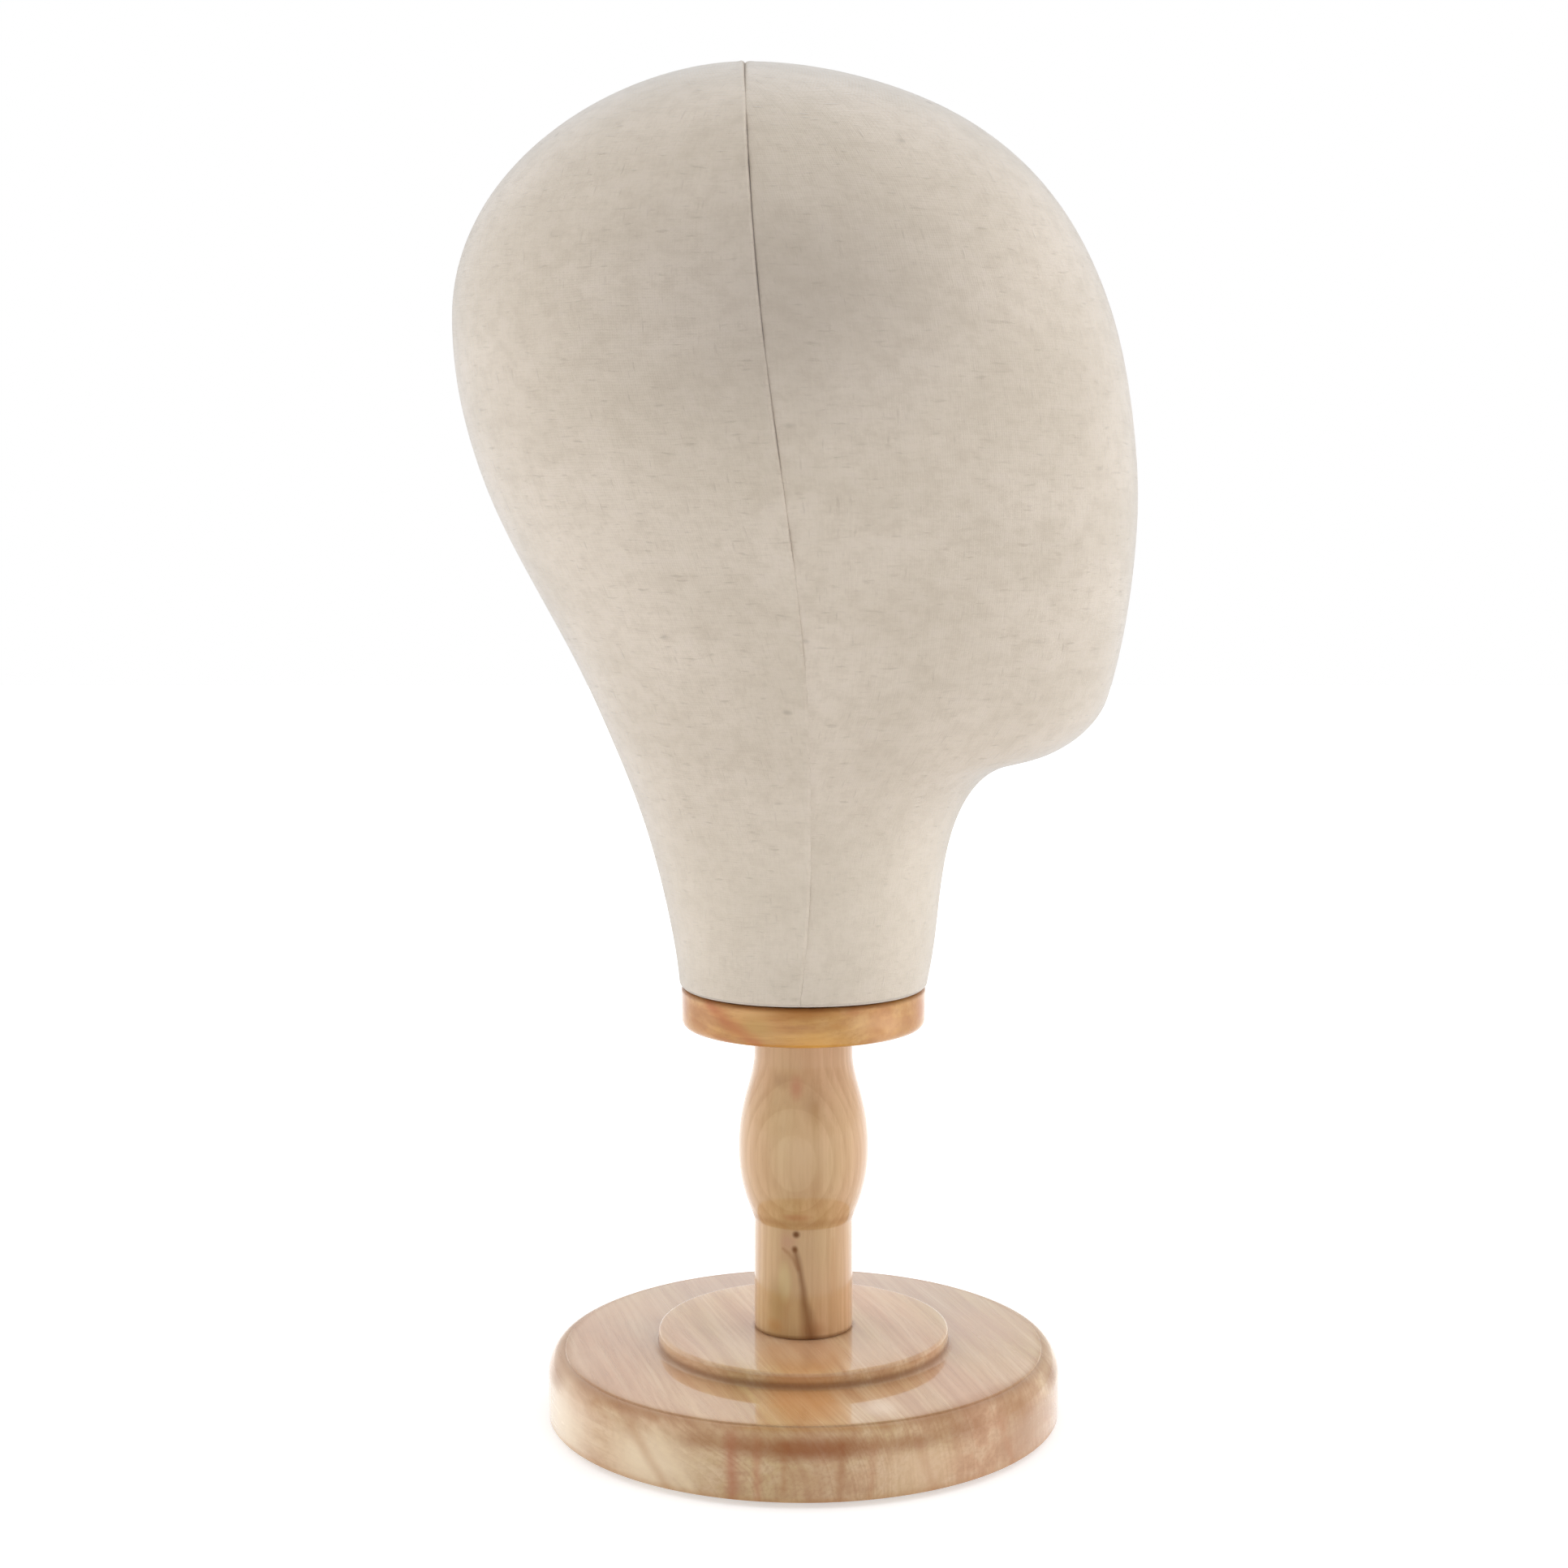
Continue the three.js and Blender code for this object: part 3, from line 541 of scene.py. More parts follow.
postWoodLook = {
    "pith": (5.2, 34, 0),
    "fibre": (0.6, 0.4, 0),
    "spacing": 1.9, "wobble": 3.6, "drift": 1.4,
    "early": paint(216, 179, 132), "late": paint(188, 143, 92),
    "pinkish": paint(216, 169, 132), "greenish": paint(199, 169, 115),
    "pale": paint(226, 194, 149), "poreColour": paint(153, 106, 63),
    "ringAmount": 0.27, "fibreAmount": 0.26, "poreAmount": 0.12, "bandAmount": 0.26,
    "coatRoughness": 0.1, "roughness": 0.3,
    # two dark dots below the bulb, which take the lacquer's shine away too
    "paintedDarkReflectionsAndDots": [((-2.1, -14.3, 57.3), (1.6, 2, 1.6), paint(112, 66, 30), 0.9, 0.8),
                  ((-2.5, -14.2, 52.9), (1.4, 2, 1.6), paint(120, 74, 36), 0.8, 0.9)],
    "patches": [((-1, -20, 87), (15, 9, 22), paint(236, 204, 160), 0.36, 1.0),
                ((-4.4, -13.6, 54.9), (4.6, 3, 4.6), paint(196, 146, 112), 0.6, 1.0),
                ((-5.6, -13.3, 43), (3.2, 3, 8), paint(218, 196, 139), 0.65, 0.7),
                ((-8.0, -12.1, 37), (4.4, 4, 10), paint(179, 145, 85), 0.5, 0.8),
                ((-8.4, -11.8, 29.5), (4, 4, 3.4), paint(194, 137, 70), 0.5, 0.9),
                ((3, -14.2, 29), (6, 4, 3.6), paint(188, 130, 80), 0.45, 0.9),
                ((-2.1, -16.5, 101), (3.2, 5, 5.4), paint(190, 112, 76), 0.6, 0.9),
                ((-2.5, -16, 62.6), (7, 5, 1.7), paint(184, 120, 78), 0.5, 0.9),
                ((2.6, -17, 97), (5, 5, 9), paint(170, 126, 76), 0.42, 0.9),
                ((-7, -14.6, 102.5), (5, 5, 3.4), paint(178, 136, 90), 0.42, 0.9)],
    "streaks": [([(-2.5, -14.2, 52.9, 1.5), (-1.6, -14.3, 49, 1.9), (-0.8, -14.4, 45.6, 1.5),
                  (-0.1, -14.4, 41, 1.7), (0.2, -14.4, 37, 2.4), (1.1, -14.4, 33, 3.3),
                  (2.3, -14.2, 26, 3.9)], paint(128, 78, 36), 0.7),
                ([(-5.8, -13.1, 52.8, 0.9), (-4.2, -13.7, 51.6, 1.3), (-2.6, -14.1, 49.6, 1.4),
                  (-1.6, -14.3, 47, 1.0)], paint(150, 98, 54), 0.45),
                ([(3.2, -17, 96, 2.2), (3.6, -18, 67, 3.2)], paint(177, 134, 83), 0.45),
                ([(8.5, -11.6, 55, 1.6), (9, -11.2, 30, 2.2)], paint(196, 151, 106), 0.35)],
    # rings: painted shade in the crease under the bulb, and painted shade in the joint at the post's foot
    "rings": [(14.5, 60.6, 2.4, paint(166, 118, 72), 0.42),
              (14.5, 26.5, 1.0, paint(124, 74, 36), 0.55)],
}
discWoodLook = {
    "pith": (10, -12, 22),
    "fibre": (90, 0, 70),
    "spacing": 4.2, "wobble": 9.0, "drift": 2.5,
    "early": paint(207, 153, 78), "late": paint(173, 108, 43),
    "pinkish": paint(210, 147, 92), "greenish": paint(196, 155, 76),
    "pale": paint(231, 188, 120), "poreColour": paint(143, 85, 41),
    "ringAmount": 0.24, "fibreAmount": 0.34, "poreAmount": 0.2, "bandAmount": 0.4,
    "coatRoughness": 0.14, "roughness": 0.32,
    # painted dark reflections along the front of the top edge and on the left and right rims
    "paintedDarkReflectionsAndDots": [((-1, -35, 126.2), (17, 6, 3.8), paint(160, 96, 38), 0.62, 0.9),
                  ((-32, -15, 122), (8, 15, 10), paint(175, 117, 61), 0.55, 0.9),
                  ((32, -15, 122), (8, 15, 10), paint(184, 124, 72), 0.55, 0.9)],
    "patches": [((14, -32.5, 126.5), (8, 6, 2.4), paint(179, 110, 53), 0.55, 0.9),
                ((3, -35, 118), (16, 6, 4.2), paint(232, 172, 78), 0.6, 0.9),
                ((-13, -33, 122), (8, 5, 4.4), paint(194, 155, 82), 0.5, 0.9),
                ((23, -27, 121), (11, 12, 7), paint(231, 175, 126), 0.55, 0.9),
                ((16, -31, 122.6), (8, 6, 4), paint(234, 188, 130), 0.4, 0.9),
                # painted shade on the left and right rims
                ((-34, -8, 124), (3, 10, 6), paint(173, 102, 57), 0.6, 0.9),
                ((33.5, -10, 123), (3, 8, 5), paint(184, 108, 59), 0.6, 0.9)],
    "streaks": [([(-27, -23, 127, 3.4), (-13.4, -32.8, 117, 3.8)], paint(190, 106, 70), 0.62),
                ([(-31, -16, 121, 1.8), (-20, -29, 116, 2.4)], paint(186, 106, 61), 0.45),
                ([(8, -34.4, 122.5, 1.4), (22, -27.6, 119.5, 1.8)], paint(192, 130, 65), 0.4)],
    # painted shadow of the cloth's hem along the top edge
    "rings": [(35.3, 127.3, 1.4, paint(119, 70, 31), 0.65)],
}
blockWoodLook = {
    "pith": (5, 60, 0),
    "fibre": (0, 0, 0),
    "spacing": 3.4, "wobble": 3.0, "drift": 1.0,
    "early": paint(205, 176, 136), "late": paint(170, 132, 88),
    "pinkish": paint(200, 164, 128), "greenish": paint(188, 166, 122),
    "pale": paint(214, 188, 150), "poreColour": paint(130, 98, 66),
    "ringAmount": 0.6, "fibreAmount": 0.5, "poreAmount": 0.5, "bandAmount": 0.2,
    "coatRoughness": 0.5, "roughness": 0.75,
    "patches": [], "streaks": [], "paintedDarkReflectionsAndDots": [], "rings": [],
}


def makeWood(name, look, groups, lacquer=1.0):
    material, tree, shader = startMaterial(name)
    place = objectPlace(tree)
    seen = plankGrain(tree, place, look, groups["grain"])
    colour = grainColour(tree, seen, look)
    # patches of colour, among them painted shade and painted reflections as each look lists them
    for centre, radii, patchColour, amount, softness in look["patches"]:
        mask = patchMask(tree, groups["patch"], place, centre, radii, softness)
        colour = tint(tree, calc(tree, "MULTIPLY", mask, amount), colour, patchColour)
    shine = 1.0
    # marks, painted shade and painted dark reflections, each with the shine it takes away
    for mask, markColour, loss in marksAndPaintedLight(tree, place, look, groups):
        colour = tint(tree, mask, colour, markColour)
        shine = calc(tree, "MULTIPLY", shine, calc(tree, "MULTIPLY_ADD", mask, -loss, 1.0))
    spread = 0.1        # how far the fibres change the roughness
    rough = calc(tree, "MULTIPLY_ADD", seen["Fibre"], spread, look["roughness"] - spread / 2)
    plug(tree, shader["Base Color"], colour)
    plug(tree, shader["Roughness"], rough)
    plug(tree, shader["Coat Weight"], calc(tree, "MULTIPLY", shine, lacquer))
    shader["Specular IOR Level"].default_value = 0.1 if lacquer > 0 else 0.3
    shader["Coat Roughness"].default_value = look["coatRoughness"]
    addBump(tree, shader, seen["Height"], depth=0.06 * mm, strength=0.6)
    return material


# the grain at each place of a piece, which is cut from its plank at a slant
def plankGrain(tree, place, look, group):
    turns = [math.radians(angle) for angle in look["fibre"]]
    values = {"Vector": place, "Location": metres(look["pith"]), "Rotation": turns}
    plank = addNode(tree, "ShaderNodeMapping", values, vector_type="TEXTURE")
    values = {"Vector": plank.outputs[0], "Spacing": look["spacing"], "Wobble": look["wobble"],
              "Drift": look["drift"]}
    return useGroup(tree, group, values)


# warm and greenish areas, pale and deep bands, late wood, fibres and pores over the early wood
def grainColour(tree, seen, look):
    warm = rise(tree, seen["Blotch"], 0.42, 0.66)
    cool = rise(tree, seen["Blotch"], 0.5, 0.3)
    pale = rise(tree, seen["Band"], 0.48, 0.66)
    deep = rise(tree, seen["Band"], 0.5, 0.34)
    fibre = rise(tree, seen["Fibre"], 0.42, 0.68)
    layers = [(warm, 0.6, "pinkish"), (cool, 0.6, "greenish"),
              (pale, look["bandAmount"], "pale"), (deep, look["bandAmount"], "late"),
              (seen["Ring"], look["ringAmount"], "late"), (fibre, look["fibreAmount"], "late"),
              (seen["Pore"], look["poreAmount"], "poreColour")]
    return layer(tree, look["early"], look, layers)


# marks, painted shade and painted dark reflections that take the lacquer's shine too: their masks, colours
# and how much of the shine goes
def marksAndPaintedLight(tree, place, look, groups):
    streakLoss = 0.8
    marks = []
    for points, colour, amount in look["streaks"]:
        mask = streakMask(tree, groups["streak"], place, points)
        marks.append((calc(tree, "MULTIPLY", mask, amount), colour, streakLoss))
    # painted dark reflections, and the post's dark dots
    for centre, radii, colour, amount, softness in look["paintedDarkReflectionsAndDots"]:
        mask = patchMask(tree, groups["patch"], place, centre, radii, softness)
        marks.append((calc(tree, "MULTIPLY", mask, amount), colour, 1.0))
    for radius, height, reach, colour, amount in look["rings"]:
        values = {"Vector": place, "Radius": radius * mm, "Height": height * mm, "Reach": reach * mm}
        mask = useGroup(tree, groups["ring"], values)["Mask"]
        marks.append((calc(tree, "MULTIPLY", mask, amount), colour, 1.0))
    return marks


def patchMask(tree, group, place, centre, radii, softness):
    values = {"Vector": place, "Centre": metres(centre), "Radii": metres(radii), "Softness": softness}
    return useGroup(tree, group, values)["Mask"]


# one mask for a streak of several stretches
def streakMask(tree, group, place, points):
    mask = 0.0
    for start, end in zip(points, points[1:]):
        values = {"Vector": place, "Start": metres(start[:3]), "End": metres(end[:3]),
                  "Width": start[3] * mm, "End Width": end[3] * mm}
        mask = calc(tree, "MAXIMUM", useGroup(tree, group, values)["Mask"], mask)
    return mask


# metal, felt, packing and linen

steelLook = {
    "bright": paint(196, 198, 200), "dull": paint(150, 150, 148),
    "roughness": 0.2, "brushing": 0.22, "wear": 0.12,      # roughness, and what brushing and wear add
}


def makeSteel(marks):
    material, tree, shader = startMaterial("plainSteel")
    seen = useGroup(tree, marks, {"Vector": objectPlace(tree)})
    worn = rise(tree, seen["Tarnish"], 0.45, 0.7)
    rough = calc(tree, "MULTIPLY_ADD", seen["Brushing"], steelLook["brushing"], steelLook["roughness"])
    plug(tree, shader["Base Color"], tint(tree, worn, steelLook["bright"], steelLook["dull"]))
    plug(tree, shader["Roughness"], calc(tree, "MULTIPLY_ADD", worn, steelLook["wear"], rough))
    shader["Metallic"].default_value = 1
    addBump(tree, shader, seen["Brushing"], depth=0.02 * mm, strength=0.5)
    return material


feltLook = {"dark": paint(52, 46, 42), "light": paint(84, 76, 70), "hairs": 1800, "tufts": 260}


def makeFelt():
    material, tree, shader = startMaterial("darkFelt")
    place = objectPlace(tree)
    hairs = cloud(tree, place, [feltLook["hairs"]] * 3, 5.0, 0.7)
    tufts = cloud(tree, place, [feltLook["tufts"]] * 3)
    shade = rise(tree, calc(tree, "MULTIPLY", calc(tree, "ADD", hairs, tufts), 0.5), 0.35, 0.65)
    plug(tree, shader["Base Color"], tint(tree, shade, feltLook["dark"], feltLook["light"]))
    shader["Roughness"].default_value = 0.95
    shader["Sheen Weight"].default_value = 0.4
    shader["Sheen Roughness"].default_value = 0.5
    addBump(tree, shader, hairs, depth=0.4 * mm)
    return material


packingLook = {"dark": paint(120, 84, 52), "light": paint(188, 146, 100), "grains": 380}


def makePacking():
    material, tree, shader = startMaterial("rammedCork")
    values = {"Vector": objectPlace(tree), "Scale": packingLook["grains"]}
    cells = addNode(tree, "ShaderNodeTexVoronoi", values)
    shade = addNode(tree, "ShaderNodeSeparateColor", {0: cells.outputs["Color"]}).outputs[0]
    plug(tree, shader["Base Color"], tint(tree, shade, packingLook["dark"], packingLook["light"]))
    shader["Roughness"].default_value = 0.95
    addBump(tree, shader, cells.outputs["Distance"], depth=0.8 * mm)
    return material


linenLook = {
    "plain": paint(223, 210, 193),
    "shade": paint(198, 183, 165),
    "pale": paint(232, 219, 203),
    "rosy": paint(229, 215, 203),
    "slubColour": paint(157, 140, 123),
    "fleckColour": paint(125, 109, 92),
    "threads": 1500,            # to the metre
    "threadAmount": 0.2, "mottleAmount": 0.26, "slubAmount": 0.23, "fleckAmount": 0.4,
    "sheen": 0.62, "sheenTint": (0.8, 0.89, 1, 1),
    # painted shade over the upper front of the head, and a paler band round the neck and jaw: centre and
    # radii in mm, colour, amount and softness
    "patches": [((-4, -72, 316), (74, 46, 50), paint(165, 154, 146), 0.38, 1.0),
                ((8, 0, 158), (80, 90, 52), paint(248, 237, 219), 0.45, 1.0)],
}


def makeLinen(weave, patch):
    look = linenLook
    material, tree, shader = startMaterial("naturalLinen")
    flatPlace = tree.nodes.new("ShaderNodeUVMap").outputs[0]
    seen = useGroup(tree, weave, {"Vector": flatPlace, "Threads": look["threads"]})
    colour = tint(tree, rise(tree, seen["Cloud"], 0.36, 0.66), look["plain"], look["pale"])
    threads = rise(tree, seen["Thread"], 0.45, 0.66)
    mottle = rise(tree, seen["Mottle"], 0.42, 0.68)
    rosy = rise(tree, seen["Mottle"], 0.5, 0.3)
    layers = [(threads, look["threadAmount"], "shade"), (mottle, look["mottleAmount"], "shade"),
              (rosy, look["mottleAmount"], "rosy"), (seen["Slub"], look["slubAmount"], "slubColour"),
              (seen["Fleck"], look["fleckAmount"], "fleckColour")]
    colour = layer(tree, colour, look, layers)
    place = objectPlace(tree)
    # painted shade over the upper front of the head, and the paler neck
    for centre, radii, patchColour, amount, softness in look["patches"]:
        mask = patchMask(tree, patch, place, centre, radii, softness)
        colour = tint(tree, calc(tree, "MULTIPLY", mask, amount), colour, patchColour)
    plug(tree, shader["Base Color"], colour)
    shader["Roughness"].default_value = 0.9
    shader["Specular IOR Level"].default_value = 0.25
    shader["Sheen Weight"].default_value = look["sheen"]
    shader["Sheen Roughness"].default_value = 0.45
    shader["Sheen Tint"].default_value = look["sheenTint"]
    addBump(tree, shader, seen["Height"], depth=0.22 * mm, strength=0.7)
    return material


# mesh helpers

def addMesh(name, corners, faces):
    mesh = bpy.data.meshes.new(name)
    mesh.from_pydata([tuple(corner) for corner in corners], [], faces)
    mesh.validate()
    piece = bpy.data.objects.new(name, mesh)
    bpy.context.scene.collection.objects.link(piece)
    return piece


def smoothOver(piece, sharpAngle):
    for face in piece.data.polygons:
        face.use_smooth = True
    piece.data.set_sharp_from_angle(angle=math.radians(sharpAngle))


def dress(piece, material, body, slot, *nodes):
    piece.data.materials.clear()
    piece.data.materials.append(material)
    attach(piece, body)
    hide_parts(*nodes)


# adds a Bezier stretch from an outline's last point, by its handles and its end
def curveTo(outline, *points, steps=12):
    keys = [np.array(outline[-1], float)] + [np.array(point, float) for point in points]
    for i in range(1, steps + 1):
        level = keys
        share = i / steps
        while len(level) > 1:
            level = [a + (b - a) * share for a, b in zip(level, level[1:])]
        outline.append(tuple(level[0]))


# splits the long straight stretches, so that shading and baking have rows to work with
def withRows(outline, longest):
    rows = [outline[0]]
    for (x0, z0), (x1, z1) in zip(outline, outline[1:]):
        count = max(1, math.ceil(math.hypot(x1 - x0, z1 - z0) / longest))
        for i in range(1, count + 1):
            share = i / count
            rows.append((x0 + (x1 - x0) * share, z0 + (z1 - z0) * share))
    return rows


def onCircle(radius, angle, height):
    return (radius * math.cos(angle) * mm, radius * math.sin(angle) * mm, height * mm)


# a turned piece about the post's axis, from its outline of radius and height in mm
def turn(name, outline, sides):
    corners = []
    rings = []
    for radius, height in outline:
        count = sides if radius > 0 else 1
        rings.append([len(corners) + i for i in range(count)])
        corners += [onCircle(radius, 2 * math.pi * i / sides, height) for i in range(count)]
    faces = []
    for low, high in zip(rings, rings[1:]):
        for i in range(sides):
            j = (i + 1) % sides
            ring = [low[i % len(low)], low[j % len(low)], high[j % len(high)], high[i % len(high)]]
            face = list(dict.fromkeys(ring))
            if len(face) > 2:
                faces.append(face)
    piece = addMesh(name, corners, faces)
    joinSeams(piece)
    return piece


# merges the first and last ring of a closed outline, and turns all faces outward
def joinSeams(piece):
    work = bmesh.new()
    work.from_mesh(piece.data)
    bmesh.ops.remove_doubles(work, verts=work.verts, dist=1e-6)
    bmesh.ops.recalc_face_normals(work, faces=work.faces)
    work.to_mesh(piece.data)
    work.free()


def carve(piece, cutter):
    cut = piece.modifiers.new("cut", "BOOLEAN")
    cut.operation = "DIFFERENCE"
    cut.solver = "EXACT"
    cut.object = cutter
    bpy.context.view_layer.update()
    seen = piece.evaluated_get(bpy.context.evaluated_depsgraph_get())
    mesh = bpy.data.meshes.new_from_object(seen)
    piece.modifiers.clear()
    old = piece.data
    piece.data = mesh
    mesh.name = piece.name
    bpy.data.meshes.remove(old)
    bpy.data.objects.remove(cutter)


# stand: sizes in mm

padShape = {"radius": 70, "thickness": 1.5, "edge": 0.3, "sides": 128}


def makePad(felt):
    top = padShape["thickness"]
    edge = padShape["edge"]
    radius = padShape["radius"]
    outline = [(0, 0), (radius - edge, 0)]
    curveTo(outline, (radius, 0), (radius, edge), steps=4)
    outline.append((radius, top - edge))
    curveTo(outline, (radius, top), (radius - edge, top), steps=4)
    outline.append((0, top))
    pad = turn("feltPad", withRows(outline, longest=8), padShape["sides"])
    smoothOver(pad, 50)
    dress(pad, felt, "stand", "felt", "base_pad")


baseShape = {
    "radius": 75, "wall": 12.2, "footChamfer": 0.8,
    "shoulder": (5, 7.4),           # how far it runs inward and up
    "shoulderPull": (0.5, 0.6),     # its curve's handles, as shares of these
    "quirk": 0.45, "lip": 0.1,      # small drop where the shoulder begins, and its rounded edge
    "stepRadius": 42.6, "stepCove": 1.8, "stepEdge": 1.2,
    "boltHole": 4.3, "recess": 11.6, "recessDepth": 9,
    "sides": 192,
}


def makeBase(wood):
    shape = baseShape
    outer, recess, boltHole = shape["radius"], shape["recess"], shape["boltHole"]
    seat = baseBottom + shape["recessDepth"]
    outline = [(recess, baseBottom), (outer - shape["footChamfer"], baseBottom)]
    curveTo(outline, (outer, baseBottom), (outer, baseBottom + shape["footChamfer"]), steps=4)
    outline.append((outer, baseBottom + shape["wall"]))
    addShoulder(outline)
    outline += [(boltHole, stepTop), (boltHole, seat), (recess, seat), (recess, baseBottom)]
    base = turn("turnedBase", withRows(outline, longest=6), shape["sides"])
    smoothOver(base, 40)
    dress(base, wood, "stand", "base_wood", "base_disc")


# the base's top: shoulder, quirk, flat, cove and raised step
def addShoulder(outline):
    shape = baseShape
    outer, wallTop = outline[-1]
    width, drop = shape["shoulder"]
    pullIn, pullUp = shape["shoulderPull"]
    inner, flat = outer - width, wallTop + drop
    quirk, lip = shape["quirk"], shape["lip"]
    curveTo(outline, (outer, wallTop + pullUp * drop), (inner + pullIn * width, flat - quirk),
            (inner, flat - quirk), steps=18)
    curveTo(outline, (inner - lip, flat - quirk), (inner - 1.5 * lip, flat - lip), steps=2)
    curveTo(outline, (inner - 2 * lip, flat), (inner - 5 * lip, flat), steps=3)
    radius, cove, edge = shape["stepRadius"], shape["stepCove"], shape["stepEdge"]
    outline.append((radius + cove, flat))
    curveTo(outline, (radius, flat), (radius, flat + cove), steps=8)
    outline.append((radius, stepTop - edge))
    curveTo(outline, (radius, stepTop), (radius - edge, stepTop), steps=6)


postShape = {
    "radius": 14.4, "belly": 19,
    "bulb": (32.5, 53.5, 80.5),     # heights above the step where it starts, is widest and ends
    # handles of the swelling's two curves: shares of the swell outward and of the way up
    "lowerPull": [(0.12, 0.14), (1, 0.43)], "upperPull": [(1, 0.5), (0.2, 0.67)],
    "chamfer": 0.6,
    "insertHole": (6.6, 20.6), "studHole": (4.3, 30.3),     # radius and depth
    "sides": 128,
}


def makePost(wood):
    shape = postShape
    radius, chamfer = shape["radius"], shape["chamfer"]
    insertRadius, insertDepth = shape["insertHole"]
    studRadius, studDepth = shape["studHole"]
    outline = [(0, stepTop + insertDepth), (insertRadius, stepTop + insertDepth),
               (insertRadius, stepTop), (radius - chamfer, stepTop)]
    curveTo(outline, (radius, stepTop), (radius, stepTop + chamfer), steps=3)
    addBulb(outline)
    outline.append((radius, postTop - chamfer))
    curveTo(outline, (radius, postTop), (radius - chamfer, postTop), steps=3)
    outline += [(studRadius, postTop), (studRadius, postTop - studDepth), (0, postTop - studDepth)]
    post = turn("turnedPost", withRows(outline, longest=3), shape["sides"])
    smoothOver(post, 40)
    dress(post, wood, "stand", "post_wood", "post")


def addBulb(outline):
    shape = postShape
    radius, belly = shape["radius"], shape["belly"]
    start, middle, end = (stepTop + height for height in shape["bulb"])
    swell = belly - radius
    lower = [(radius + out * swell, start + up * (middle - start)) for out, up in shape["lowerPull"]]
    upper = [(radius + out * swell, middle + up * (end - middle)) for out, up in shape["upperPull"]]
    outline.append((radius, start))
    curveTo(outline, *lower, (belly, middle), steps=26)
    curveTo(outline, *upper, (radius, end), steps=26)


studShape = {
    "radius": 4, "standsUp": 18, "inPost": 30, "endChamfer": 0.8,
    "pitch": 1.25, "depth": 0.68, "flanks": 0.86,       # share of the pitch that the flanks take
    "steps": 28, "rowsPerTurn": 10,
}


def makeStud(steel):
    shape = studShape
    steps, radius = shape["steps"], shape["radius"]
    bottom, top = postTop - shape["inPost"], postTop + shape["standsUp"]
    rows = round((top - bottom) / shape["pitch"] * shape["rowsPerTurn"])
    corners = [(0, 0, bottom * mm)]
    for height in np.linspace(bottom, top, rows + 1):
        taper = min(1.0, (min(height - bottom, top - height) + 0.001) / shape["endChamfer"])
        limit = radius - shape["endChamfer"] * (1 - taper)
        for i in range(steps):
            angle = 2 * math.pi * i / steps
            corners.append(onCircle(min(limit, threadRadius(angle, height)), angle, height))
    corners.append((0, 0, top * mm))
    faces = [(0, 1 + (i + 1) % steps, 1 + i) for i in range(steps)]
    for row in range(rows):
        low, high = 1 + row * steps, 1 + (row + 1) * steps
        faces += [(low + i, low + (i + 1) % steps, high + (i + 1) % steps, high + i) for i in range(steps)]
    last = len(corners) - 1
    ring = last - steps
    faces += [(last, ring + i, ring + (i + 1) % steps) for i in range(steps)]
    stud = addMesh("threadedStud", corners, faces)
    smoothOver(stud, 60)
    dress(stud, steel, "stud", "steel", "head_stud")


# the stud's radius at an angle and height, with a rounded ridge that climbs one pitch a turn
def threadRadius(angle, height):
    share = (height / studShape["pitch"] - angle / (2 * math.pi)) % 1.0
    groove = min(1.0, abs(share - 0.5) * 2 / studShape["flanks"])
    return studShape["radius"] - studShape["depth"] * groove


# neck: sizes in mm

discShape = {
    "radius": 35.4, "topEdge": 1, "bottomEdge": 2.8, "nutHole": 6.0,
    "screwHole": 2.3, "sinkMouth": 4.3, "sinkDepth": 2.2, "gap": 0.3,       # round a screw's head
    "sides": 160, "holeSides": 32,
}


def screwPlaces():
    places = []
    for i in range(1, 5):
        low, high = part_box(f"disc_screw_{i}")
        places.append((low + high) / 2)
    return places


def moveBy(place):
    return Matrix.Translation((place.x, place.y, 0))


def makeDisc(wood):
    shape = discShape
    radius, hole = shape["radius"], shape["nutHole"]
    outline = [(hole, discBottom), (radius - shape["bottomEdge"], discBottom)]
    curveTo(outline, (radius, discBottom), (radius, discBottom + shape["bottomEdge"]), steps=10)
    outline.append((radius, discTop - shape["topEdge"]))
    curveTo(outline, (radius, discTop), (radius - shape["topEdge"], discTop), steps=5)
    outline += [(hole, discTop), (hole, discBottom)]
    disc = turn("turnedDisc", withRows(outline, longest=4), shape["sides"])
    for place in screwPlaces():
        carve(disc, sinkCutter(place))
    smoothOver(disc, 40)
    dress(disc, wood, "head", "disc_wood", "neck_disc")


# a screw's countersunk hole
def sinkCutter(place):
    shape = discShape
    hole, mouth = shape["screwHole"], shape["sinkMouth"]
    rim = discBottom + shape["gap"]
    past = 1            # the cutter runs out of the wood at both ends
    outline = [(0, discBottom - past), (mouth, discBottom - past), (mouth, rim),
               (hole, rim + shape["sinkDepth"]), (hole, discTop + past), (0, discTop + past)]
    cutter = turn("sinkCutter", outline, shape["holeSides"])
    cutter.data.transform(moveBy(place))
    return cutter


screwShape = {
    "headRadius": 4, "headHeight": 2.2, "headEdge": 0.15,
    "radius": 2, "length": 32, "point": 4, "shank": 8,
    "pitch": 1.8, "threadDepth": 0.5, "threadRow": 0.3, "tipLeft": 0.2,
    # the cross in the head: size, how far it narrows inward, and its turn from screw to screw
    "slotLength": 4.6, "slotWidth": 0.9, "slotDepth": 1.5, "slotTaper": (0.35, 0.6), "slotTurn": 0.7,
    "sides": 32,
}


def makeScrews(steel):
    shape = screwShape
    for i, place in enumerate(screwPlaces()):
        screw = turn(f"crossScrew{i + 1}", screwOutline(), shape["sides"])
        for angle in (0, math.pi / 2):
            carve(screw, slotCutter(angle + i * shape["slotTurn"]))
        screw.data.transform(moveBy(place))
        smoothOver(screw, 35)
        dress(screw, steel, "head", "steel", f"disc_screw_{i + 1}")


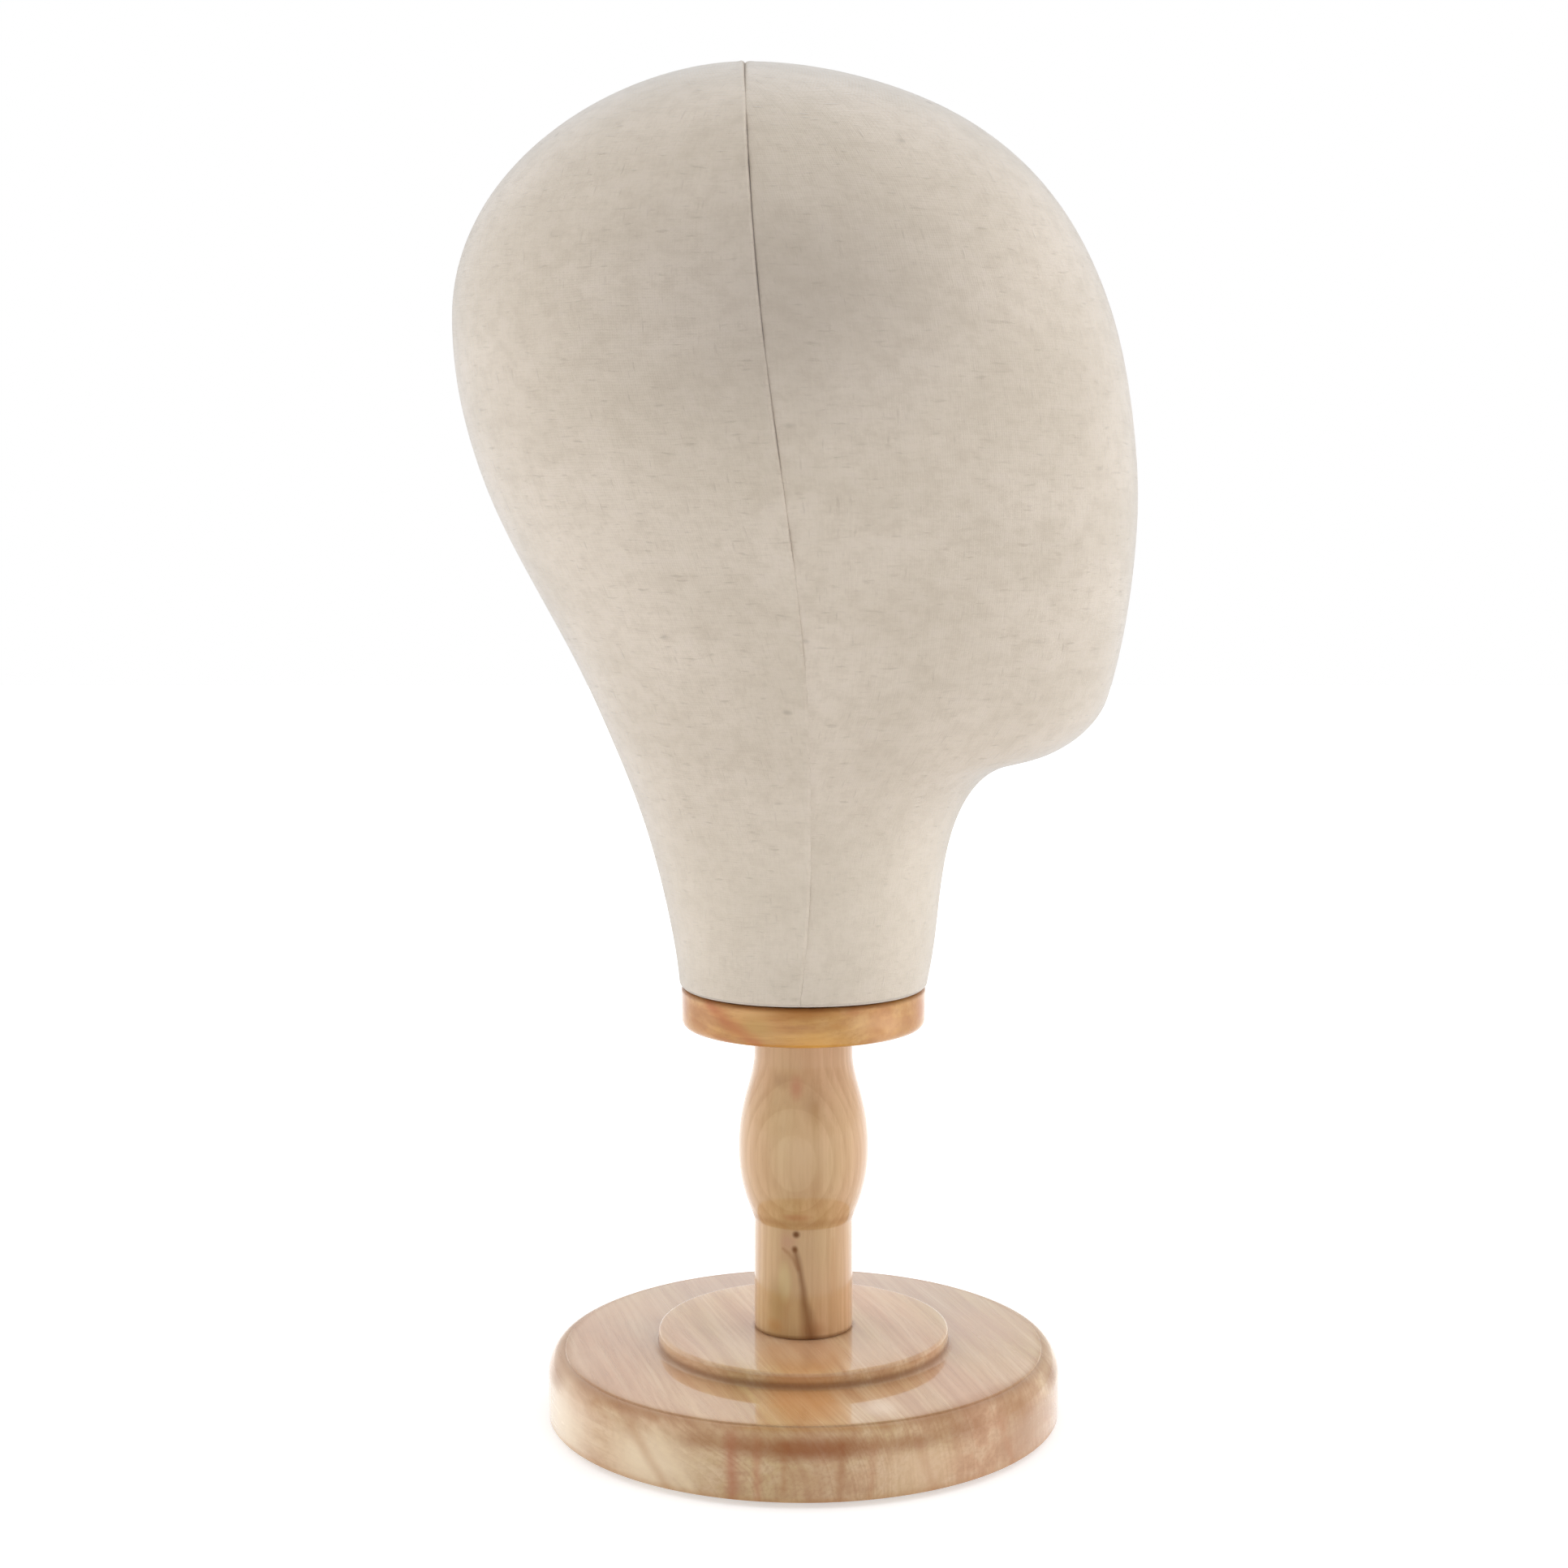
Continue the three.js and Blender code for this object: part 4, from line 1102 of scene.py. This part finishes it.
def screwOutline():
    shape = screwShape
    edge, radius, row = shape["headEdge"], shape["radius"], shape["threadRow"]
    tip = discBottom + shape["length"]
    headTop = discBottom + shape["headHeight"]
    shankEnd = headTop + shape["shank"]
    outline = [(0, discBottom), (shape["headRadius"] - edge, discBottom),
               (shape["headRadius"], discBottom + edge), (radius, headTop), (radius, shankEnd)]
    for height in np.arange(shankEnd + row, tip - shape["tipLeft"], row):
        limit = radius * min(1.0, (tip - height) / shape["point"])
        groove = abs((height / shape["pitch"]) % 1.0 - 0.5) * 2
        outline.append((limit * (1 - shape["threadDepth"] / radius * groove), height))
    outline.append((0, tip))
    return outline


# a wedge that cuts one arm of the cross in a screw's head
def slotCutter(angle):
    shape = screwShape
    length, width = shape["slotLength"] / 2, shape["slotWidth"] / 2
    narrowLength, narrowWidth = shape["slotTaper"]
    past = 0.5          # the wedge starts below the head
    bottom, top = discBottom - past, discBottom + shape["slotDepth"]
    ends = [(bottom, length, width), (top, length * narrowLength, width * narrowWidth)]
    corners = []
    for height, along, across in ends:
        for x, y in ((-along, -across), (along, -across), (along, across), (-along, across)):
            turned = (x * math.cos(angle) - y * math.sin(angle), x * math.sin(angle) + y * math.cos(angle))
            corners.append((turned[0] * mm, turned[1] * mm, height * mm))
    faces = [(3, 2, 1, 0), (4, 5, 6, 7)] + [(i, (i + 1) % 4, 4 + (i + 1) % 4, 4 + i) for i in range(4)]
    return addMesh("slotCutter", corners, faces)


# head: sizes in mm

# rails from the foot of the neck: place, height, heading in degrees, pull before, pull after
headShape = {
    "hemRoll": 1.5, "canvas": 1.2, "coreGap": 0.3,
    "front": [(36, 1.5, 77, 0, 0.36), (41.1, 37.1, 80, 0.38, 0.37), (62.2, 65, 4, 0.37, 0.33),
              (87, 83.6, 74, 0.33, 0.3), (94.5, 145, 93, 0.3, 0.41), (-16, 259.4, 177.4, 0.5, 0)],
    "back": [(-36, 1.5, 98, 0, 0.39), (-62.5, 88, 115, 0.37, 0.33), (-98.7, 189.3, 90, 0.41, 0.38),
             (-16, 259.4, 2.6, 0.35, 0)],
    "side": [(36.2, 1.5, 88, 0, 0.36), (39.2, 30, 80, 0.36, 0.36), (57, 88, 72, 0.36, 0.36),
             (75, 188, 90, 0.4, 0.42), (0, 259.4, 180, 0.46, 0)],
    "seam": [(-1, 0), (2, 37.1), (0, 100), (-11, 188), (-16, 259.4)],
    "faceFullness": 0.93, "backFullness": 0.98,
    "rows": 170, "rowEase": 0.055, "closestRows": 0.3, "columns": 44,
    "railSteps": 300, "seamSteps": 81,
    "rollRows": 6, "hemRows": 4,
    "hemSag": 0.55, "sagFrom": 30, "sagOver": 3,    # the free edge outside the tacks hangs a little
    "wellGap": 0.3,                 # round the wooden block in the packing
    "backCutFrom": 700,             # along the cloth, so that the two panels' threads differ
}
seamShape = {
    "distances": [0, 0.12, 0.3, 0.55, 0.85, 1.25, 1.8, 2.6, 3.8, 5.6, 8],   # columns beside the seam
    "narrow": 30,               # below this reach to the rail the distances shrink, as at the crown
    "reach": 0.3,
    # how deep the seam lies at each height above the neck
    "heights": [0, 40, 90, 120, 150, 200, 240, 260],
    "depths": [0.16, 0.12, 0.16, 0.3, 0.55, 0.75, 0.7, 0.5],
    # the fold beside it: height, distance and reach on the face panel, then on the back panel
    "faceLip": (0.08, 1.5, 0.8), "backLip": (0.24, 1.0, 0.55),
    "bow": 0.1,                 # slow unevenness of the stretched cloth
    "fade": 0.02,               # share of the height over which both end at crown and neck
}


def heading(degrees):
    angle = math.radians(degrees)
    return np.array([math.cos(angle), math.sin(angle)])


# how far along a line of points each of them is
def walkAlong(points):
    return np.concatenate([[0], np.cumsum(np.linalg.norm(np.diff(points, axis=0), axis=1))])


# places and heights along a rail, by shares of its length: one Bezier stretch from key to key
def railPoints(keys, shares):
    t = np.linspace(0, 1, headShape["railSteps"])[:, None]
    left = 1 - t
    places = []
    for (x0, z0, heading0, _, pull0), (x1, z1, heading1, pull1, _) in zip(keys, keys[1:]):
        span = math.hypot(x1 - x0, z1 - z0)
        start, end = np.array([x0, z0]), np.array([x1, z1])
        leave = start + span * pull0 * heading(heading0)
        arrive = end - span * pull1 * heading(heading1)
        places.append(left ** 3 * start + 3 * left ** 2 * t * leave
                      + 3 * left * t ** 2 * arrive + t ** 3 * end)
    path = np.concatenate([places[0]] + [place[1:] for place in places[1:]])
    walked = walkAlong(path)
    wanted = shares * walked[-1]
    return np.interp(wanted, walked, path[:, 0]), np.interp(wanted, walked, path[:, 1])


# the seam's place fore and aft at a height: a smooth line through its keys
def seamPlace(heights):
    keys = np.array(headShape["seam"], float)
    padded = np.vstack([keys[0], keys, keys[-1]])
    line = []
    for share in np.linspace(0, len(keys) - 1, headShape["seamSteps"]):
        i = min(int(share), len(keys) - 2)
        t = share - i
        before, start, end, after = padded[i:i + 4]
        leave, arrive = (end - before) / 2, (after - start) / 2
        line.append((2 * start - 2 * end + leave + arrive) * t ** 3
                    + (-3 * start + 3 * end - 2 * leave - arrive) * t ** 2 + leave * t + start)
    line = np.array(line)
    return np.interp(heights, line[:, 1], line[:, 0])


def railNames(onFace):
    return ("front", "faceFullness") if onFace else ("back", "backFullness")


# points of the plain outline, for arrays of rise (0 neck to 1 crown) and turn (0 face to pi back)
def outlineAt(rises, turns, onFace):
    rail, fullness = (headShape[name] for name in railNames(onFace))
    sideY, sideZ = railPoints(headShape["side"], rises)
    railX, railZ = railPoints(rail, rises)
    middle = seamPlace(sideZ)
    ahead, across = np.cos(turns), np.sin(turns)
    x = middle + (railX - middle) * np.abs(ahead) ** fullness
    y = sideY * np.sign(across) * np.abs(across) ** fullness
    z = sideZ + (railZ - sideZ) * ahead ** 2
    return np.stack([x, y, z], axis=-1)


# rises of the rows, closer together round the jaw
def riseOf(shares):
    full = 2 * math.pi
    closest = headShape["closestRows"]
    bend = np.sin(full * (shares - closest)) + math.sin(full * closest)
    return shares - headShape["rowEase"] * bend


# the turns of a panel's columns at each row: even over the panel, and close together at its seams
def panelTurns(rises, onFace):
    rail, fullness = (headShape[name] for name in railNames(onFace))
    _, sideZ = railPoints(headShape["side"], rises)
    railX, _ = railPoints(rail, rises)
    reach = np.maximum(np.abs(railX - seamPlace(sideZ)), 1e-3)
    shrink = np.minimum(1, reach / seamShape["narrow"])
    near = []
    for distance in seamShape["distances"]:
        cosine = (distance * shrink / reach) ** (1 / fullness)
        near.append(np.arccos(np.clip(cosine, 0, 1)))
    columns = headShape["columns"]
    even = [near[-1] * (1 - 2 * i / columns) for i in range(1, columns)]
    turns = np.stack(near + even + [-turn for turn in reversed(near)], axis=-1)
    return turns if onFace else math.pi - turns


# normals of a grid of points by their neighbours, away from the head's middle
def outwardNormals(grid):
    normals = np.cross(np.gradient(grid, axis=1), np.gradient(grid, axis=0))
    normals /= np.maximum(np.linalg.norm(normals, axis=-1, keepdims=True), 1e-9)
    middle = grid.mean(axis=(0, 1))
    middle[0] = 0
    sure = slice(5, -5)         # the rows at the crown and the foot can mislead
    normals *= np.sign(np.sum(normals[sure] * (grid[sure] - middle), axis=-1).mean())
    normals[:2] = (0, 0, 1)     # all columns meet at the crown
    return normals


# a slow unevenness, as cloth has over packing: waves of some 60 to 200 mm
def bowAt(points):
    x, y, z = points[..., 0], points[..., 1], points[..., 2]
    waves = np.sin(x / 17 + 1.3 * np.sin(z / 29)) * np.sin(z / 21 + y / 31 + 0.7)
    waves += 0.6 * np.sin(x / 9 - z / 13 + 2.1) * np.sin(y / 11 + z / 17)
    return seamShape["bow"] * (waves - 1)


# how far the cloth stands out at the fold beside the seam, and lies in at the seam
def seamRelief(grid, onFace):
    shape = seamShape
    heights = grid[..., 2]
    away = np.abs(grid[..., 0] - seamPlace(heights))
    uneven = np.sin(heights / 3.1 + 2 * np.sin(heights / 7.3))
    slow = np.sin(heights / 6.2 + 3 * np.sin(heights / 21))
    depth = np.interp(heights, shape["heights"], shape["depths"]) * (1 + 0.25 * uneven + 0.45 * slow)
    lipHeight, lipAt, lipReach = shape["faceLip"] if onFace else shape["backLip"]
    lip = lipHeight * (1 + 0.5 * uneven) * np.exp(-(((away - lipAt) / lipReach) ** 2))
    return lip, depth * np.exp(-away / shape["reach"])


# one skin of a panel: rows from the crown down to the neck, then round the roll and in under it
def panelSkin(onFace, inset):
    rises = riseOf(np.linspace(1, 0, headShape["rows"] + 1))
    turns = panelTurns(rises, onFace)
    grid = outlineAt(rises[:, None] * np.ones_like(turns), turns, onFace)
    lip, valley = seamRelief(grid, onFace)
    fade = np.clip(np.minimum(rises, 1 - rises) / seamShape["fade"], 0, 1)[:, None]
    lift = (lip + bowAt(grid)) * fade - valley - inset
    grid = grid + outwardNormals(grid) * lift[..., None]
    grid[-1, :, 2] = headShape["hemRoll"]
    return addHem(grid, inset)


# the rolled foot of the cloth and the hem turned in under the neck
def addHem(grid, inset):
    shape = headShape
    roll = shape["hemRoll"] - inset
    foot = grid[-1]
    reach = np.hypot(foot[:, 0], foot[:, 1])
    opening = hemOpeningRadius()
    rings = []
    for i in range(1, shape["rollRows"] + 1):
        angle = math.pi / 2 * i / shape["rollRows"]
        rings.append((reach - roll + roll * math.cos(angle), shape["hemRoll"] - roll * math.sin(angle)))
    for i in range(1, shape["hemRows"] + 1):
        share = i / shape["hemRows"]
        rings.append(((reach - roll) * (1 - share) + opening * share, shape["hemRoll"] - roll))
    outward = foot[:, :2] / reach[:, None]
    rows = [grid]
    for radii, height in rings:
        ring = np.column_stack([outward * radii[:, None], np.full(len(foot), height)])
        rows.append(ring[None])
    grid = np.concatenate(rows)
    outer = np.clip((np.hypot(grid[..., 0], grid[..., 1]) - shape["sagFrom"]) / shape["sagOver"], 0, 1)
    low = np.clip(1 - grid[..., 2] / shape["sagOver"], 0, 1)
    grid[..., 2] -= shape["hemSag"] * outer * low
    return grid


# the underside of the CAD panel's hem gives the opening
def hemOpeningRadius():
    undersideHeight, clearance = 0.1, 0.05
    corners = np.array([vertex.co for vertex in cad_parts["canvas_face"].data.vertices]) / mm
    low = corners[corners[:, 2] < neckFoot + undersideHeight]
    return np.hypot(low[:, 0], low[:, 1]).min() + clearance


# the cloth's own flat place: across each row, and up along the seam to the same height. The warp
# threads spread with the panel's width by half as much as it does, and are straightest on the right
def clothPlaces(grid):
    narrowest, straightest = 110, 0.75
    walked = np.stack([walkAlong(row) for row in grid])
    widths = walked[:, -1:]
    spread = np.sqrt(widths.max() / np.maximum(widths, narrowest))
    across = (walked - straightest * widths) * spread
    seam = grid[:, 0]
    down = walkAlong(seam)
    up = np.interp(grid[..., 2], seam[::-1, 2], down[-1] - down[::-1])
    return across, up, widths.max()


def makePanel(name, onFace, linen, slotNode):
    outer = panelSkin(onFace, 0)
    inner = panelSkin(onFace, headShape["canvas"])
    corners = np.concatenate([outer.reshape(-1, 3), inner.reshape(-1, 3)])
    corners[:, 2] += neckFoot
    piece = addMesh(name, corners * mm, panelFaces(*outer.shape[:2]))
    across, up, width = clothPlaces(outer)
    cutFrom = 0 if onFace else headShape["backCutFrom"]
    setClothPlace(piece, across.ravel() + cutFrom, up.ravel())
    joinSeams(piece)
    smoothOver(piece, 70)
    dress(piece, linen, "head", "canvas", slotNode)


# faces of both skins, of the two seam edges and of the hem's edge
def panelFaces(rows, columns):
    skin = rows * columns
    faces = []
    for i in range(rows - 1):
        for j in range(columns - 1):
            a, d = i * columns + j, (i + 1) * columns + j
            faces.append((a, a + 1, d + 1, d))
            faces.append((skin + d, skin + d + 1, skin + a + 1, skin + a))
    for i in range(rows - 1):
        for j, flip in ((0, True), (columns - 1, False)):
            a, d = i * columns + j, (i + 1) * columns + j
            side = (a, d, skin + d, skin + a)
            faces.append(side if flip else side[::-1])
    last = (rows - 1) * columns
    for j in range(last, last + columns - 1):
        faces.append((skin + j, skin + j + 1, j + 1, j))
    return faces


# both skins of a panel share the cloth's flat place
def setClothPlace(piece, across, up):
    places = np.tile(np.stack([across, up], axis=-1), (2, 1)) * mm
    loops = np.zeros(len(piece.data.loops), int)
    piece.data.loops.foreach_get("vertex_index", loops)
    uv = piece.data.uv_layers.new(name="clothPlace")
    uv.data.foreach_set("uv", places[loops].ravel().astype(np.float32))


def makeCore(packing):
    grid = coreGrid()
    rows, columns = grid.shape[:2]
    corners = grid.reshape(-1, 3)
    corners[:, 2] += neckFoot
    faces = []
    for i in range(rows - 1):
        for j in range(columns):
            k = (j + 1) % columns
            faces.append((i * columns + j, i * columns + k, (i + 1) * columns + k, (i + 1) * columns + j))
    core = addMesh("packedCore", corners * mm, faces)
    joinSeams(core)
    smoothOver(core, 50)
    dress(core, packing, "head", "packing", "core")
    return core


# rows of the packing from the crown down, then in under the neck and up round the wooden block
def coreGrid():
    inset = headShape["canvas"] + headShape["coreGap"]
    skins = [panelSkin(onFace, inset)[:headShape["rows"] + 1] for onFace in (True, False)]
    grid = ringOrder(*skins)
    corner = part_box("neck_block")[1]
    wellRadius = corner.x / mm + headShape["wellGap"]
    wellTop = corner.z / mm + headShape["wellGap"] - neckFoot
    foot = grid[-1]
    outward = foot[:, :2] / np.hypot(foot[:, 0], foot[:, 1])[:, None]
    rows = [grid]
    for radius, height in ((wellRadius, headShape["hemRoll"]), (wellRadius, wellTop), (0, wellTop)):
        ring = np.column_stack([outward * radius, np.full(len(foot), height)])
        rows.append(ring[None])
    return np.concatenate(rows)


# both skins as one closed ring of columns, without their shared seam columns twice
def ringOrder(face, back):
    row = len(face) // 3
    meets = face[row, -1]
    if np.linalg.norm(meets - back[row, 0]) > np.linalg.norm(meets - back[row, -1]):
        back = back[:, ::-1]
    return np.concatenate([face[:, :-1], back[:, :-1]], axis=1)


# build

print("stage: camera, light and floor")
bpy.context.scene.view_settings.view_transform = "Standard"
makeCamera()
makeSky()
makeLights()
makeFloor()

print("stage: materials")
woodGroups = {"grain": makeGrainGroup(), "patch": makePatchGroup(), "ring": makeRingGroup(),
              "streak": makeStreakGroup()}
baseWood = makeWood("baseWood", baseWoodLook, woodGroups)
postWood = makeWood("postWood", postWoodLook, woodGroups)
discWood = makeWood("discWood", discWoodLook, woodGroups)
blockWood = makeWood("blockWood", blockWoodLook, woodGroups, lacquer=0.0)
steel = makeSteel(makeMetalGroup())
felt = makeFelt()
packing = makePacking()
linen = makeLinen(makeWeaveGroup(), woodGroups["patch"])

print("stage: stand")
makeBase(baseWood)
makePad(felt)
makePost(postWood)
makeStud(steel)

print("stage: neck")
makeDisc(discWood)
makeScrews(steel)

print("stage: head")
core = makeCore(packing)
makePanel("canvasFace", True, linen, "canvas_face")
makePanel("canvasBack", False, linen, "canvas_back")

print("stage: carried-over parts")
steelNodes = ["base_washer", "base_bolt", "post_insert", "neck_nut"]
steelNodes += [f"hem_tack_{i}" for i in range(1, 9)]
for nodeName, material in [(name, steel) for name in steelNodes] + [("neck_block", blockWood)]:
    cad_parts[nodeName].data.materials.clear()
    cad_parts[nodeName].data.materials.append(material)
